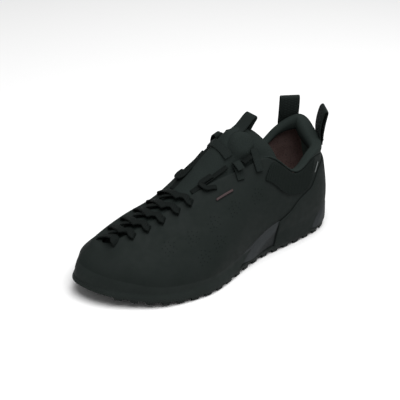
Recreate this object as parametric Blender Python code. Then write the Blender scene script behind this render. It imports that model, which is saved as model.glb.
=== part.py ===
"""Approach shoe, left foot.
+X is the toe, +Y the outer side and +Z up, with the origin on the ground under the middle of the shoe."""
import math
import bmesh
import bpy
import numpy as np

# Driving sizes, metres
LENGTH = 0.286
BALL_WIDTH = 0.105
HEEL_HEIGHT = 0.096
WALL = 0.0022
GAP = 0.0003
LAYER_GAP = 0.0006

# Sole sizes, metres
TOE_SPRING = 0.011
SPRING_START = 0.050
HEEL_BEVEL = 0.003
BEVEL_START = -0.120
FLARE = 0.0008
TREAD = 0.0030
PLATE = 0.0035

# Profiles of the upper round the last, from the middle of the heel along the outer side to the toe and back
# name, heading of the profile in degrees,
# feather point: along (share of LENGTH), across (share of BALL_WIDTH), height (share of HEEL_HEIGHT),
# lean of the wall in degrees, belly (share of HEEL_HEIGHT),
# top edge: along, across, height, slope in degrees, crown (share of HEEL_HEIGHT)
PROFILES = (
    ("heel back", 180, -0.49, -0.01, 0.25, 8, 0.25, -0.44, -0.02, 0.99, 84, 0.25),
    ("heel corner", 140, -0.45, 0.205, 0.23, 3, 0.24, -0.415, 0.18, 0.93, 82, 0.25),
    ("heel side", 105, -0.38, 0.31, 0.23, 8, 0.25, -0.345, 0.255, 0.89, 80, 0.23),
    ("ankle", 93, -0.27, 0.34, 0.22, 8, 0.23, -0.26, 0.285, 0.81, 78, 0.23),
    ("collar front", 90, -0.15, 0.345, 0.20, 8, 0.25, -0.175, 0.225, 1.005, 64, 0.27),
    ("instep", 88, -0.04, 0.385, 0.165, 8, 0.25, -0.09, 0.17, 0.955, 50, 0.29),
    ("waist", 85, 0.11, 0.495, 0.145, 8, 0.23, 0.03, 0.105, 0.87, 42, 0.29),
    ("ball", 81, 0.21, 0.50, 0.135, 6, 0.21, 0.16, 0.045, 0.72, 32, 0.29),
    ("little toe", 68, 0.315, 0.425, 0.135, 4, 0.19, 0.275, 0.005, 0.60, 26, 0.29),
    ("toe side", 50, 0.395, 0.28, 0.155, 3, 0.185, 0.355, -0.035, 0.53, 22, 0.23),
    ("toe corner", 26, 0.46, 0.095, 0.175, 2, 0.17, 0.375, -0.08, 0.475, 18, 0.19),
    ("toe tip", 0, 0.49, -0.165, 0.185, 2, 0.17, 0.38, -0.12, 0.445, 16, 0.18),
    ("big toe", -34, 0.445, -0.33, 0.18, 3, 0.17, 0.39, -0.18, 0.44, 16, 0.16),
    ("inner toe side", -66, 0.395, -0.45, 0.14, 3, 0.18, 0.345, -0.21, 0.48, 20, 0.16),
    ("inner ball", -80, 0.26, -0.50, 0.14, 5, 0.22, 0.245, -0.21, 0.575, 26, 0.21),
    ("inner waist", -88, 0.15, -0.48, 0.145, 6, 0.225, 0.145, -0.21, 0.67, 32, 0.25),
    ("inner instep", -92, 0.02, -0.41, 0.18, 8, 0.25, 0.03, -0.23, 0.89, 44, 0.27),
    ("inner collar front", -90, -0.11, -0.345, 0.21, 10, 0.25, -0.085, -0.26, 1.03, 56, 0.27),
    ("inner ankle front", -90, -0.21, -0.335, 0.23, 10, 0.25, -0.18, -0.285, 0.97, 66, 0.27),
    ("inner ankle", -92, -0.295, -0.345, 0.25, 10, 0.25, -0.285, -0.30, 0.815, 78, 0.23),
    ("inner heel side", -108, -0.385, -0.335, 0.25, 8, 0.25, -0.36, -0.30, 0.92, 80, 0.23),
    ("inner heel corner", -142, -0.455, -0.22, 0.25, 8, 0.25, -0.435, -0.195, 1.045, 82, 0.25),
)
ROWS = len(PROFILES)
SIZES = np.array((1, LENGTH, BALL_WIDTH, HEEL_HEIGHT, 1, HEEL_HEIGHT,
                  LENGTH, BALL_WIDTH, HEEL_HEIGHT, 1, HEEL_HEIGHT))
TABLE = np.array([row[1:] for row in PROFILES], float) * SIZES


def ring_bends(values):
    """Second derivatives of the smooth closed curve through evenly spaced rows."""
    rows = len(values)
    system = 4 * np.eye(rows) + np.roll(np.eye(rows), 1, 1) + np.roll(np.eye(rows), -1, 1)
    return np.linalg.solve(system, 6 * (np.roll(values, -1, 0) - 2 * values + np.roll(values, 1, 0)))


RAMPED = TABLE + np.outer(np.arange(ROWS) * 360 / ROWS, np.eye(11)[0])
BENDS = ring_bends(RAMPED)


def profile(turn):
    """Columns of the table at a place round the shoe, 0 to ROWS."""
    turn = np.asarray(turn, float)
    low = np.floor(turn).astype(int)
    part = (turn - low)[..., None]
    rest = 1 - part
    here = low % ROWS
    there = (low + 1) % ROWS
    row = rest * RAMPED[here] + part * RAMPED[there]
    row = row + ((rest ** 3 - rest) * BENDS[here] + (part ** 3 - part) * BENDS[there]) / 6
    row[..., 0] -= 360 * turn / ROWS
    return row


def spring(along):
    """Height of the ground side of the sole above the floor."""
    toe = np.clip((along - SPRING_START) / (LENGTH / 2 - SPRING_START), 0, None)
    heel = np.clip((BEVEL_START - along) / (LENGTH / 2 + BEVEL_START), 0, None)
    return TOE_SPRING * toe ** 2 + HEEL_BEVEL * heel ** 2


def skin(turn, level):
    """Outside of the shoe. Level 0 is the feather line, 1 the top edge and -1 the ground."""
    turn, level = np.broadcast_arrays(np.asarray(turn, float), np.asarray(level, float))
    row = profile(turn)
    heading = np.radians(row[..., 0])
    away = np.stack((np.cos(heading), np.sin(heading), 0 * heading), -1)
    lift = np.array((0.0, 0.0, 1.0))
    lean = np.radians(row[..., 4:5])
    slope = np.radians(row[..., 9:10])
    feather = row[..., 1:4]
    edge = row[..., 6:9]
    low = feather + row[..., 5:6] * (np.sin(lean) * away + np.cos(lean) * lift)
    high = edge + row[..., 10:11] * (np.cos(slope) * away - np.sin(slope) * lift)
    rise = np.clip(level, 0, None)[..., None]
    fall = 1 - rise
    point = fall ** 3 * feather + 3 * fall ** 2 * rise * low + 3 * fall * rise ** 2 * high + rise ** 3 * edge
    depth = np.clip(-level, 0, None)[..., None]
    reach = np.clip(depth / 0.6, 0, 1)
    drop = feather[..., 2:3] - spring(feather[..., 0:1])
    return point + FLARE * (3 * reach ** 2 - 2 * reach ** 3) * away - depth * drop * lift


def layer(turn, level, out):
    """Outside of the shoe moved out along its own normal."""
    turn, level, out = np.broadcast_arrays(np.asarray(turn, float), np.asarray(level, float), out)
    step = 0.02
    round_way = skin(turn + step, level) - skin(turn - step, level)
    up_way = skin(turn, np.clip(level + step, None, 1)) - skin(turn, np.clip(level - step, None, 1))
    normal = np.cross(up_way, round_way)
    normal = normal / np.linalg.norm(normal, axis=-1, keepdims=True)
    return skin(turn, level) + normal * out[..., None]


def inner_turn(turn):
    """Place on the inner side with the same distance from the toe along the feather line."""
    way = np.linspace(0, 11, 441)
    return -np.interp(profile(turn)[..., 1], profile(-way)[..., 1], way)


# Materials of the source model: colour, roughness
def material(name, colour, rough):
    made = bpy.data.materials.new(name)
    made.use_nodes = True
    shader = made.node_tree.nodes["Principled BSDF"]
    shader.inputs["Base Color"].default_value = (*colour, 1)
    shader.inputs["Roughness"].default_value = rough
    made.diffuse_color = (*colour, 1)
    return made


for old in list(bpy.data.objects):
    bpy.data.objects.remove(old)

RUBBER = material("black rubber", (0.012, 0.014, 0.014), 0.6)
FOAM = material("blue grey foam", (0.033, 0.041, 0.044), 0.7)
MICROFIBRE = material("dark green grey microfibre", (0.021, 0.027, 0.026), 0.7)
OVERLAY = material("dark overlay film", (0.019, 0.025, 0.023), 0.6)
KNIT = material("black knit", (0.010, 0.014, 0.012), 0.9)
PADDING = material("grey collar knit", (0.022, 0.029, 0.027), 0.9)
LINING = material("red brown lining", (0.090, 0.045, 0.042), 0.9)
WEBBING = material("black webbing", (0.008, 0.011, 0.010), 0.8)
CORD = material("black lace", (0.006, 0.008, 0.007), 0.8)
RED = material("red tab", (0.35, 0.020, 0.020), 0.6)
REFLECTIVE = material("pale reflective trim", (0.60, 0.62, 0.62), 0.4)


def solid(name, points, faces, made_of):
    """One closed object from points and faces, facing out."""
    mesh = bpy.data.meshes.new(name)
    mesh.from_pydata([tuple(point) for point in points], [], faces)
    work = bmesh.new()
    work.from_mesh(mesh)
    bmesh.ops.remove_doubles(work, verts=work.verts, dist=0.00001)
    bmesh.ops.recalc_face_normals(work, faces=work.faces)
    bmesh.ops.triangulate(work, faces=[face for face in work.faces if len(face.verts) > 4])
    work.to_mesh(mesh)
    work.free()
    mesh.materials.append(made_of)
    made = bpy.data.objects.new(name, mesh)
    bpy.context.collection.objects.link(made)
    mesh.shade_smooth()
    mesh.set_sharp_from_angle(angle=math.radians(40))
    return made


def grid_faces(rows, columns, start, closed):
    """Quads between the rows of points that lie one after another."""
    faces = []
    for row in range(rows if closed else rows - 1):
        after = (row + 1) % rows
        for column in range(columns - 1):
            here = start + row * columns + column
            there = start + after * columns + column
            faces.append((here, there, there + 1, here + 1))
    return faces


def shell(name, outer, inner, made_of, closed):
    """A wall between two grids of points, with its edges closed."""
    rows, columns = outer.shape[:2]
    count = rows * columns
    points = np.concatenate((outer.reshape(-1, 3), inner.reshape(-1, 3)))
    faces = grid_faces(rows, columns, 0, closed) + grid_faces(rows, columns, count, closed)
    for row in range(rows if closed else rows - 1):
        after = (row + 1) % rows
        for column in (0, columns - 1):
            here = row * columns + column
            there = after * columns + column
            faces.append((here, there, there + count, here + count))
    if not closed:
        for column in range(columns - 1):
            for row in (0, rows - 1):
                here = row * columns + column
                faces.append((here, here + 1, here + 1 + count, here + count))
    return solid(name, points, faces, made_of)


def stack(name, rings, made_of):
    """A solid of closed rings, one above or inside the next, with its two ends filled."""
    rings = np.array(rings)
    levels, count = rings.shape[:2]
    faces = []
    for level in range(levels - 1):
        for place in range(count):
            after = (place + 1) % count
            low = level * count
            faces.append((low + place, low + after, low + count + after, low + count + place))
    faces.append(tuple(range(count)))
    faces.append(tuple(range((levels - 1) * count, levels * count)))
    return solid(name, rings.reshape(-1, 3), faces, made_of)


def sweep(name, path, side, section, made_of):
    """A section of (along side, along normal) pairs carried along a path."""
    path = np.asarray(path, float)
    run = np.gradient(path, axis=0)
    run = run / np.linalg.norm(run, axis=1, keepdims=True)
    across = np.broadcast_to(np.asarray(side, float), path.shape)
    across = across - run * (run * across).sum(1, keepdims=True)
    across = across / np.linalg.norm(across, axis=1, keepdims=True)
    normal = np.cross(run, across)
    wide, tall = np.transpose(section)
    rings = [path[k] + np.outer(wide, across[k]) + np.outer(tall, normal[k]) for k in range(len(path))]
    return stack(name, rings, made_of)


def foot_level(turn):
    """Level just above the outsole's plate."""
    row = profile(turn)
    return (TREAD + PLATE + 2 * GAP) / (row[..., 3] - spring(row[..., 1])) - 1


def smooth_table(table, count):
    """The rows of a table passed through smoothly, as count rows."""
    table = np.asarray(table, float)
    place = np.linspace(0, len(table) - 1, count)
    low = np.clip(np.floor(place).astype(int), 0, len(table) - 2)
    part = (place - low)[:, None]
    before = table[np.clip(low - 1, 0, None)]
    here = table[low]
    there = table[low + 1]
    beyond = table[np.clip(low + 2, None, len(table) - 1)]
    return here + 0.5 * part * (there - before + part * (
        2 * before - 5 * here + 4 * there - beyond + part * (3 * (here - there) + beyond - before)))


def overlay(name, table, columns, steps, low_out, high_out, made_of):
    """A layer on the shoe. Rows of the table: turn and level of the lower end, then of the upper end."""
    rows = smooth_table(table, columns)[:, None, :]
    part = np.linspace(0, 1, steps)[None, :]
    turn = rows[..., 0] * (1 - part) + rows[..., 2] * part
    lowest = foot_level(rows[..., 0])
    level = np.maximum(rows[..., 1], lowest) * (1 - part) + rows[..., 3] * part
    edge = np.minimum(np.minimum(part, 1 - part) * 8, 1) * 0.4 + 0.6
    outside = layer(turn, level, low_out + (high_out - low_out) * edge)
    return shell(name, outside, layer(turn, level, low_out), made_of, False)


def mirrored(table):
    """The same layer on the inner side, by distance from the toe."""
    return [(float(inner_turn(a)), b, float(inner_turn(c)), d) for a, b, c, d in table]


# The places round the shoe at which the walls are worked out
AROUND = np.arange(ROWS * 4) / 4
TURN = AROUND[:, None]


def by_turn(table, turn):
    """Value at a place round the shoe from pairs of turn and value."""
    turns, values = np.transpose(table)
    return np.interp(np.mod(turn, ROWS), turns, values)


# Where the upper stands on the sole's rim, and where the collar pad sits on the upper
RIM = ((0, 0.08), (2, 0.09), (3, 0.14), (3.75, 0.17), (4.25, 0.13), (4.75, 0.07), (5.5, 0),
       (16.25, 0), (17, 0.06), (17.5, 0.13), (17.75, 0.16), (18.25, 0.15), (20, 0.09), (22, 0.08))
PAD = ((0, 0.86), (1.2, 0.88), (2, 0.93), (3, 0.955), (4, 0.965), (4.5, 1), (17.25, 1), (18, 0.965),
       (19, 0.955), (20, 0.93), (20.8, 0.88), (22, 0.86))
RIM_GAP = 0.007

rim = by_turn(RIM, TURN)
pad = by_turn(PAD, TURN)

# Upper: one hollow wall, open at the collar, down the throat and underneath
UPPER_STEPS = 8
wall_part = np.linspace(0, 1, UPPER_STEPS)[None, :]
crest = np.where(pad < 1, pad - 0.006, 1)
wall_level = (rim + RIM_GAP) * (1 - wall_part) + crest * wall_part
shell("upper", layer(TURN, wall_level, 0.0), layer(TURN, wall_level, -WALL), MICROFIBRE, True)

# Sole windows: the bare foam stands out between the overlays, highest along a ridge
FOAM_BULGE = 0.0026
# lines round each window, the foam on their left: along and height of a point (shares), heading in degrees
SIDE_WINDOW = ((-0.012, 0.075, 146), (-0.090, 0.240, 165), (-0.186, 0.326, -73))
HEEL_WINDOW = ((-0.360, 0.280, 180), (-0.338, 0.070, 135))
SIDE_RIDGE = (-0.080, 0.099, 149)


def left_of(points, line):
    """Distance of points on the side of the shoe to the left of a line."""
    along, height, way = line
    angle = math.radians(way)
    rise = points[..., 2] - height * HEEL_HEIGHT
    return rise * math.cos(angle) - (points[..., 0] - along * LENGTH) * math.sin(angle)


def window_out(points, lines):
    """How far the foam stands out at points, inside the lines."""
    depth = np.min([left_of(points, line) for line in lines], axis=0)
    return np.clip((depth - 0.0025) * 0.4, 0, FOAM_BULGE)


def foam_out(turn, level):
    """The foam's rise in both windows, falling away again under the ridge of the side window."""
    points = skin(turn, level)
    under = FOAM_BULGE - 0.22 * left_of(points, SIDE_RIDGE)
    side = np.clip(np.minimum(window_out(points, SIDE_WINDOW), under), 0, None)
    return np.maximum(side, window_out(points, HEEL_WINDOW))


def ground(points, height):
    """The same points at a height above the ground side of the sole."""
    moved = points.copy()
    moved[..., 2] = spring(points[..., 0]) + height
    return moved


def drawn_in(ring, share):
    """A ring drawn in towards the middle line of the sole."""
    middle = ring.copy()
    middle[..., 0] = np.clip(ring[..., 0], -0.36 * LENGTH, 0.36 * LENGTH)
    middle[..., 1] = np.interp(middle[..., 0], (0.2 * LENGTH, 0.36 * LENGTH), (0, -0.086 * BALL_WIDTH))
    return ring * (1 - share) + middle * share


# Midsole: a foam cup, its rim under the upper's wall
FOOTBED = 0.017
TOE_BED = 0.0115
FOOT_IN = 0.0015
RIM_THICK = 0.0042


def bed_height(points):
    """Height of the cup's floor above the ground side of the sole."""
    return np.interp(points[..., 0], (-0.2 * LENGTH, 0.15 * LENGTH), (FOOTBED, TOE_BED))


sole_top = TREAD + PLATE + GAP
sole_level = -1 + sole_top / (profile(AROUND)[..., 3] - spring(profile(AROUND)[..., 1]))
rim_level = by_turn(RIM, AROUND)
foam_foot = layer(AROUND, sole_level, -FOOT_IN)
foam_rings = [ground(drawn_in(foam_foot, 0.7), sole_top), ground(foam_foot, sole_top)]
for share in (0.2, 0.5, 0.8, 1):
    here = sole_level * (1 - share) + rim_level * share
    foam_rings.append(layer(AROUND, here, foam_out(AROUND, here)))
foam_rings.append(layer(AROUND, rim_level, -RIM_THICK))
lip = drawn_in(layer(AROUND, np.clip(rim_level, None, 0), -RIM_THICK - GAP), 0.10)
flat = drawn_in(lip, 0.7)
foam_rings += [ground(lip, bed_height(lip)), ground(flat, bed_height(flat))]
stack("midsole", foam_rings, FOAM)

# Outsole: a rubber plate that follows the toe spring, with its lugs joined on
PLATE_OUT = 0.0020
PLATE_BEVEL = 0.0010
plate_rings = []
for share, out, height in ((0.7, 0.0002, TREAD), (0, 0.0002, TREAD), (0, PLATE_OUT, TREAD + PLATE_BEVEL),
                           (0, PLATE_OUT, TREAD + PLATE), (0, -FOOT_IN, TREAD + PLATE),
                           (0.7, -FOOT_IN, TREAD + PLATE)):
    ring = layer(AROUND, sole_level, out)
    plate_rings.append(ground(drawn_in(ring, share), height))
outsole = stack("outsole", plate_rings, RUBBER)

LUG_GAP = 0.0068
LUG_ROOT = 0.0012
LUG_TAPER = 0.94


def lug(corners):
    """Two rings of a block from inside the plate down to the ground side."""
    corners = np.array(corners)
    low = np.column_stack((corners, spring(corners[:, 0])))
    high = np.column_stack((corners, spring(corners[:, 0]) + TREAD + LUG_ROOT))
    low[:, :2] = low[:, :2].mean(0) + (low[:, :2] - low[:, :2].mean(0)) * LUG_TAPER
    return low, high


outline = layer(np.linspace(0, ROWS, 1761), -0.72, PLATE_OUT)[:, :2]
walked = np.concatenate(((0,), np.cumsum(np.linalg.norm(np.diff(outline, axis=0), axis=1))))


def edge_point(distance, inward):
    """A point of the sole's outline, moved in."""
    at, ahead = [np.array([np.interp(way % walked[-1], walked, outline[:, k]) for k in (0, 1)])
                 for way in (distance, distance + 0.001)]
    way = (ahead - at) / np.linalg.norm(ahead - at)
    return at + inward * np.array((way[1], -way[0]))


lugs = []
EDGE_LUGS = 47
TOE_LUGS = (22, 28)
EDGE_IN = 0.0002
LUG_DEPTHS = (0.010, 0.013)
pitch = walked[-1] / EDGE_LUGS
for number in range(EDGE_LUGS):
    if TOE_LUGS[0] <= number < TOE_LUGS[1]:
        continue
    near = (number - 0.5) * pitch + LUG_GAP / 2
    far = (number + 0.5) * pitch - LUG_GAP / 2
    deep = LUG_DEPTHS[number % 2]
    lugs.append(lug((edge_point(near, EDGE_IN), edge_point(far, EDGE_IN), edge_point(far, deep),
                     edge_point(near, deep))))
# inner lugs: six sided studs in rows across the sole
STUD = 0.0050
STUD_SIDES = 6
STUDS = ((-0.40, 0.0), (-0.33, -0.07), (-0.33, 0.09), (-0.26, 0.01), (0.13, -0.20), (0.13, 0.0), (0.13, 0.20),
         (0.20, -0.24), (0.20, -0.06), (0.20, 0.12), (0.27, -0.20), (0.27, -0.02), (0.27, 0.14),
         (0.335, -0.24), (0.335, -0.08), (0.335, 0.06), (0.39, -0.20), (0.39, -0.06))
for along, across in STUDS:
    middle = np.array((along * LENGTH, across * BALL_WIDTH))
    corners = np.arange(STUD_SIDES) * math.tau / STUD_SIDES
    lugs.append(lug([middle + STUD * np.array((math.cos(a), math.sin(a))) for a in corners]))
lug_points = []
lug_faces = []
for low, high in lugs:
    count = len(low)
    first = len(lug_points)
    lug_points.extend(low)
    lug_points.extend(high)
    lug_faces.append(tuple(first + k for k in range(count)))
    lug_faces.append(tuple(first + count + k for k in range(count)))
    for k in range(count):
        after = (k + 1) % count
        lug_faces.append((first + k, first + after, first + count + after, first + count + k))
blocks = solid("lugs", lug_points, lug_faces, RUBBER)
blocks.hide_render = True
blocks.display_type = "WIRE"
union = outsole.modifiers.new("lugs", "BOOLEAN")
union.operation = "UNION"
union.solver = "EXACT"
union.object = blocks

# Rubber rand round the front half, its back ends cut at a slant over the foam
RAND = 0.0015
RAND_HALF = ((5.50, -1, 4.66, 0.09), (5.85, -1, 5.3, 0.13), (6.3, -1, 6.2, 0.15), (7, -1, 7, 0.18),
             (8, -1, 8, 0.22), (9, -1, 9, 0.29), (10, -1, 10, 0.37))
rand_inner = [(a % ROWS, b, c % ROWS, d) for a, b, c, d in mirrored(RAND_HALF)[::-1]]
overlay("rand", [*RAND_HALF, (11, -1, 11, 0.42), *rand_inner], 46, 6, LAYER_GAP, LAYER_GAP + RAND, RUBBER)

# Heel cap: a film wing down to the outsole on each side, joined round the back above the bare foam
CAP = 0.0012
CAP_HALF = ((3.90, -1, 3.72, 0.165), (3.50, -1, 3.35, 0.26), (3.0, -1, 2.95, 0.44), (2.5, -0.9, 2.6, 0.50),
            (2.2, -0.34, 2.3, 0.52), (1.95, -0.03, 2.02, 0.60), (1.70, 0.085, 1.65, 0.70),
            (1.2, 0.08, 1.2, 0.76), (0.6, 0.075, 0.6, 0.79))
cap_rows = [*CAP_HALF, (0, 0.075, 0, 0.80), *mirrored(CAP_HALF)[::-1]]
overlay("heel_cap", cap_rows, 44, 6, LAYER_GAP, LAYER_GAP + CAP, OVERLAY)

# Knit windows below the collar, one on each side
KNIT_OUT = 0.0008
KNIT_WINDOW = ((4.50, 0.755, 4.46, 0.775), (4.15, 0.68, 4.10, 0.90), (3.65, 0.585, 3.70, 0.935),
               (3.2, 0.575, 3.2, 0.935), (2.78, 0.580, 2.72, 0.93), (2.42, 0.60, 2.30, 0.92),
               (2.16, 0.70, 1.85, 0.895))
overlay("knit_panel_outer", KNIT_WINDOW, 13, 5, LAYER_GAP, LAYER_GAP + KNIT_OUT, KNIT)
overlay("knit_panel_inner", mirrored(KNIT_WINDOW), 13, 5, LAYER_GAP, LAYER_GAP + KNIT_OUT, KNIT)

# Plain trims: a red tab on the quarter and a pale strip beside the heel
TRIM = 0.0004
TAB_PLACE = ((6.10, 0.803, 6.10, 0.822), (5.64, 0.821, 5.64, 0.840))
STRIP_PLACE = ((1.97, 0.69, 1.92, 0.693), (1.67, 0.80, 1.61, 0.80))
overlay("red_tab", TAB_PLACE, 5, 3, LAYER_GAP, LAYER_GAP + TRIM, RED)
overlay("pale_strip", STRIP_PLACE, 5, 3, LAYER_GAP, LAYER_GAP + TRIM, REFLECTIVE)

# Collar pad: a soft roll on the upper's edge round the opening
# section of the roll: share of its height, and distance out from the wall's face
ROLL = ((0, 0), (0.35, 0.0010), (0.75, 0.0008), (1, -0.0012), (1, -0.0040), (0.6, -0.0058), (0, -0.0055))
roll_rings = []
for turn in np.linspace(4.4, -4.1, 38):
    low = float(by_turn(PAD, turn)) + 0.004
    tall = 1 - low
    full = min(1, tall / 0.05)
    roll_rings.append([layer(turn, low + tall * up, out * full) for up, out in ROLL])
stack("collar_pad", roll_rings, PADDING)

# Throat: both edges by distance along the shoe
outer_way = np.linspace(3.4, 10, 265)
inner_way = np.linspace(12.3, 18.6, 253)
outer_along = profile(outer_way)[:, 6]
inner_along = profile(inner_way)[:, 6]


def edge_turns(along):
    """The turns of the outer and the inner edge of the opening at a distance along the shoe."""
    return np.interp(along, outer_along, outer_way), np.interp(-along, -inner_along, inner_way)


BULGE = ((-0.215, 0.165), (-0.180, 0.200), (-0.150, 0.225), (-0.115, 0.240), (-0.075, 0.235), (-0.030, 0.150),
         (0.030, 0.065), (0.100, 0.030), (0.350, 0.012))


def bulge(along):
    """Rise of the middle of the tongue over the throat's edges."""
    return np.interp(along / LENGTH, *np.transpose(BULGE)) * HEEL_HEIGHT


def cover(along, across, lift):
    """A place over the throat: across is 0 at the outer edge, 1 at the inner edge, past them on the wall."""
    outer, inner = edge_turns(along)
    if across < 0:
        return layer(outer, 1 + across * 0.4, lift)
    if across > 1:
        return layer(inner, 1 - (across - 1) * 0.4, lift)
    point = skin(outer, 1) * (1 - across) + skin(inner, 1) * across
    return point + np.array((0, 0, bulge(along) * 4 * across * (1 - across) + lift))


# Tongue: an arched sheet under the throat's edges, padded at its top
TONGUE_SHARES = (0.4, 0.5, 0.6, 0.8, 1, 1, 1, 0.8, 0.6, 0.5, 0.4)
outside = [[layer(turn, 0.84, -0.0066) for turn in np.linspace(9.4, 13.0, 11)]]
thickness = [[0.0015] * 11]
for along in np.linspace(0.345, -0.215, 18) * LENGTH:
    outer, inner = edge_turns(along)
    under = np.interp(-along / LENGTH, (-0.345, -0.29, 0.10, 0.16), (0.0050, 0.0031, 0.0031, 0.0072))
    row = [layer(outer, level, -under) for level in (0.82, 0.92)]
    other = [layer(inner, level, -under) for level in (0.92, 0.82)]
    first = layer(outer, 1.0, -under)
    last = layer(inner, 1.0, -under)
    clear = (last - first) / np.linalg.norm(last - first) * 0.0022
    first = first + clear
    last = last - clear
    for across in (0, 0.14, 0.32, 0.5, 0.68, 0.86, 1):
        arch = np.array((0, 0, bulge(along) * 4 * across * (1 - across)))
        row.append(first * (1 - across) + last * across + arch)
    outside.append(row + other)
    thick = np.interp(-along / LENGTH, (-0.05, 0.08, 0.16, 0.21), (0.0024, 0.0050, 0.0055, 0.0030))
    thickness.append([thick * share for share in TONGUE_SHARES])
outside = np.array(outside)
down = np.cross(np.gradient(outside, axis=0), np.gradient(outside, axis=1))
down = down / np.linalg.norm(down, axis=-1, keepdims=True)
down = down * np.sign(-down[..., 2:3].mean())
shell("tongue", outside, outside + down * np.array(thickness)[..., None], PADDING, False)

# Insole inside the cup
INSOLE = 0.0035
INSOLE_IN = 0.0075
insole_rings = []
for share, height in ((0.7, 0.0004), (0.04, 0.0004), (0.04, INSOLE), (0.7, INSOLE)):
    ring = drawn_in(layer(AROUND[::2], 0.0, -INSOLE_IN), share)
    insole_rings.append(ground(ring, bed_height(ring) + height))
stack("insole", insole_rings, LINING)

# Lace: a bar at the toe, five crossings and a run up each side, clear of the throat's edges and the tongue
LACE_WIDTH = 0.0052
LACE_THICK = 0.0020
LACE_LIFT = 0.0026
SIDE_LIFT = -0.0016
OVAL = [(LACE_WIDTH / 2 * math.cos(turned), LACE_THICK / 2 * math.sin(turned))
        for turned in (np.arange(6) + 0.5) * math.tau / 6]
ROW_ALONG = (0.364, 0.318, 0.269, 0.219, 0.167, 0.122)
INNER_SHIFT = 0.012


def lace_bar(name, start, end, count, lift=LACE_LIFT):
    """A bar of lace between two places over the throat, each along and across."""
    path = []
    for part in np.linspace(0, 1, count):
        along = (start[0] * (1 - part) + end[0] * part) * LENGTH
        across = start[1] * (1 - part) + end[1] * part
        path.append(cover(along, across, lift))
    path = np.array(path)
    way = path[-1] - path[0]
    side = np.cross(way, (0, 0, 1.0))
    return sweep(name, path, side, OVAL, CORD)


lace_bar("lace_bar", (ROW_ALONG[0] + 0.004, -0.30), (ROW_ALONG[0] + INNER_SHIFT + 0.002, 1.30), 7)
for row in range(5):
    near = ROW_ALONG[row]
    after = ROW_ALONG[row + 1]
    one = lace_bar(f"lace_crossing_{row + 1}", (near - 0.018, 0.18), (after + INNER_SHIFT, 1.30), 7)
    two = lace_bar(f"lace_under_{row + 1}", (near + INNER_SHIFT - 0.018, 0.82), (after, -0.30), 7)
    two.hide_render = True
    two.display_type = "WIRE"
    union = one.modifiers.new("crossing", "BOOLEAN")
    union.operation = "UNION"
    union.solver = "EXACT"
    union.object = two
lace_bar("lace_side_outer", (0.098, 0.13), (-0.024, 0.13), 8, SIDE_LIFT)
lace_bar("lace_side_inner", (0.110, 0.87), (-0.018, 0.88), 8, SIDE_LIFT)
lace_bar("lace_top_outer", (-0.073, 0.03), (-0.1035, 0.05), 3)
lace_bar("lace_top_inner", (-0.085, 0.97), (-0.1105, 0.96), 3)

# Pull loops: folded webbing
STRAP = 0.0013
STRAP_POINTS = 14


def strap_section(width):
    half = width / 2
    return [(-half, -STRAP / 2), (half, -STRAP / 2), (half, STRAP / 2), (-half, STRAP / 2)]


def loop(name, path, side, width):
    """A strap along a path, bent smoothly."""
    return sweep(name, smooth_table(path, STRAP_POINTS), side, strap_section(width), WEBBING)


def heel_loop(name, turn, low, tall, near, lean, heading):
    """A loop sewn to the outside of the heel and standing above the collar."""
    edge = skin(turn, 1)
    away = np.array((math.cos(math.radians(heading)), math.sin(math.radians(heading)), 0))
    path = [layer(turn, level, near) for level in (low, low / 2 + 0.47, 0.94)]
    for out, share in ((near - 0.0010, 0.20), (lean * 0.5, 0.60), (lean, 0.97), (lean + 0.0030, 1.0),
                       (lean * 0.5 + 0.0040, 0.62), (near + 0.0026, 0.22)):
        path.append(edge + away * out + np.array((0, 0, share * tall)))
    for level, out in ((0.94, 0.0026), (low / 2 + 0.47, 0.0020), (low, 0.0018)):
        path.append(layer(turn, level, near + out))
    loop(name, path, np.cross(away, (0, 0, 1.0)), 0.020)


heel_loop("heel_loop_outer", 0.40, 0.88, 0.0295, 0.0027, 0.0060, 154)
heel_loop("heel_loop_inner", -1.35, 0.80, 0.0225, 0.0022, 0.0015, -119)

TONGUE_LOOP = ((0.0000, 0, -0.0012), (-0.0048, 0, 0.0010), (-0.0100, 0, 0.0050), (-0.0150, 0, 0.0092),
               (-0.0185, 0, 0.0106), (-0.0192, 0, 0.0084), (-0.0165, 0, 0.0050), (-0.0138, 0, 0.0014),
               (-0.0122, 0, -0.0012))
loop("tongue_loop", cover(-0.100 * LENGTH, 0.5, 0.0) + np.array(TONGUE_LOOP), (0, 1, 0), 0.0135)

# Band over the tongue and the webbing the lace runs through at the top rows
def over_throat(name, places, lift, width):
    """A strap over places of the throat, each along and across."""
    path = [cover(along * LENGTH, across, lift) for along, across in places]
    side = [cover((along + 0.01) * LENGTH, across, lift) - cover((along - 0.01) * LENGTH, across, lift)
            for along, across in places]
    loop(name, path, smooth_table(side, STRAP_POINTS), width)


BAND_PLACES = ((-0.042, 0.89), (-0.036, 0.70), (-0.033, 0.47), (-0.035, 0.30), (-0.038, 0.19))
TAB_WIDTH = 0.0070
over_throat("tongue_band", BAND_PLACES, 0.0014, 0.0085)
TOP_TABS = (("outer", -0.119, (0.11, 0.0, -0.12, -0.30)), ("inner", -0.126, (0.88, 1.0, 1.09, 1.17)))
for end, along, places in TOP_TABS:
    over_throat(f"top_tab_{end}", [(along, across) for across in places], 0.0018, TAB_WIDTH)


def webbing_loop(name, along, sign, steps):
    """A folded strap on the throat's edge, its fold towards the middle."""
    rim = 0.5 - 0.5 * sign
    edge = cover(along * LENGTH, rim, 0)
    wall = [cover(along * LENGTH, 0.5 - sign * (0.5 + part), 0.0012) for part in (0.26, 0.13)]
    fold = [edge + np.array((0, -sign * across, up)) for across, up in steps]
    side = cover((along + 0.01) * LENGTH, rim, 0) - cover((along - 0.01) * LENGTH, rim, 0)
    loop(name, wall + fold, side, TAB_WIDTH)


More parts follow.
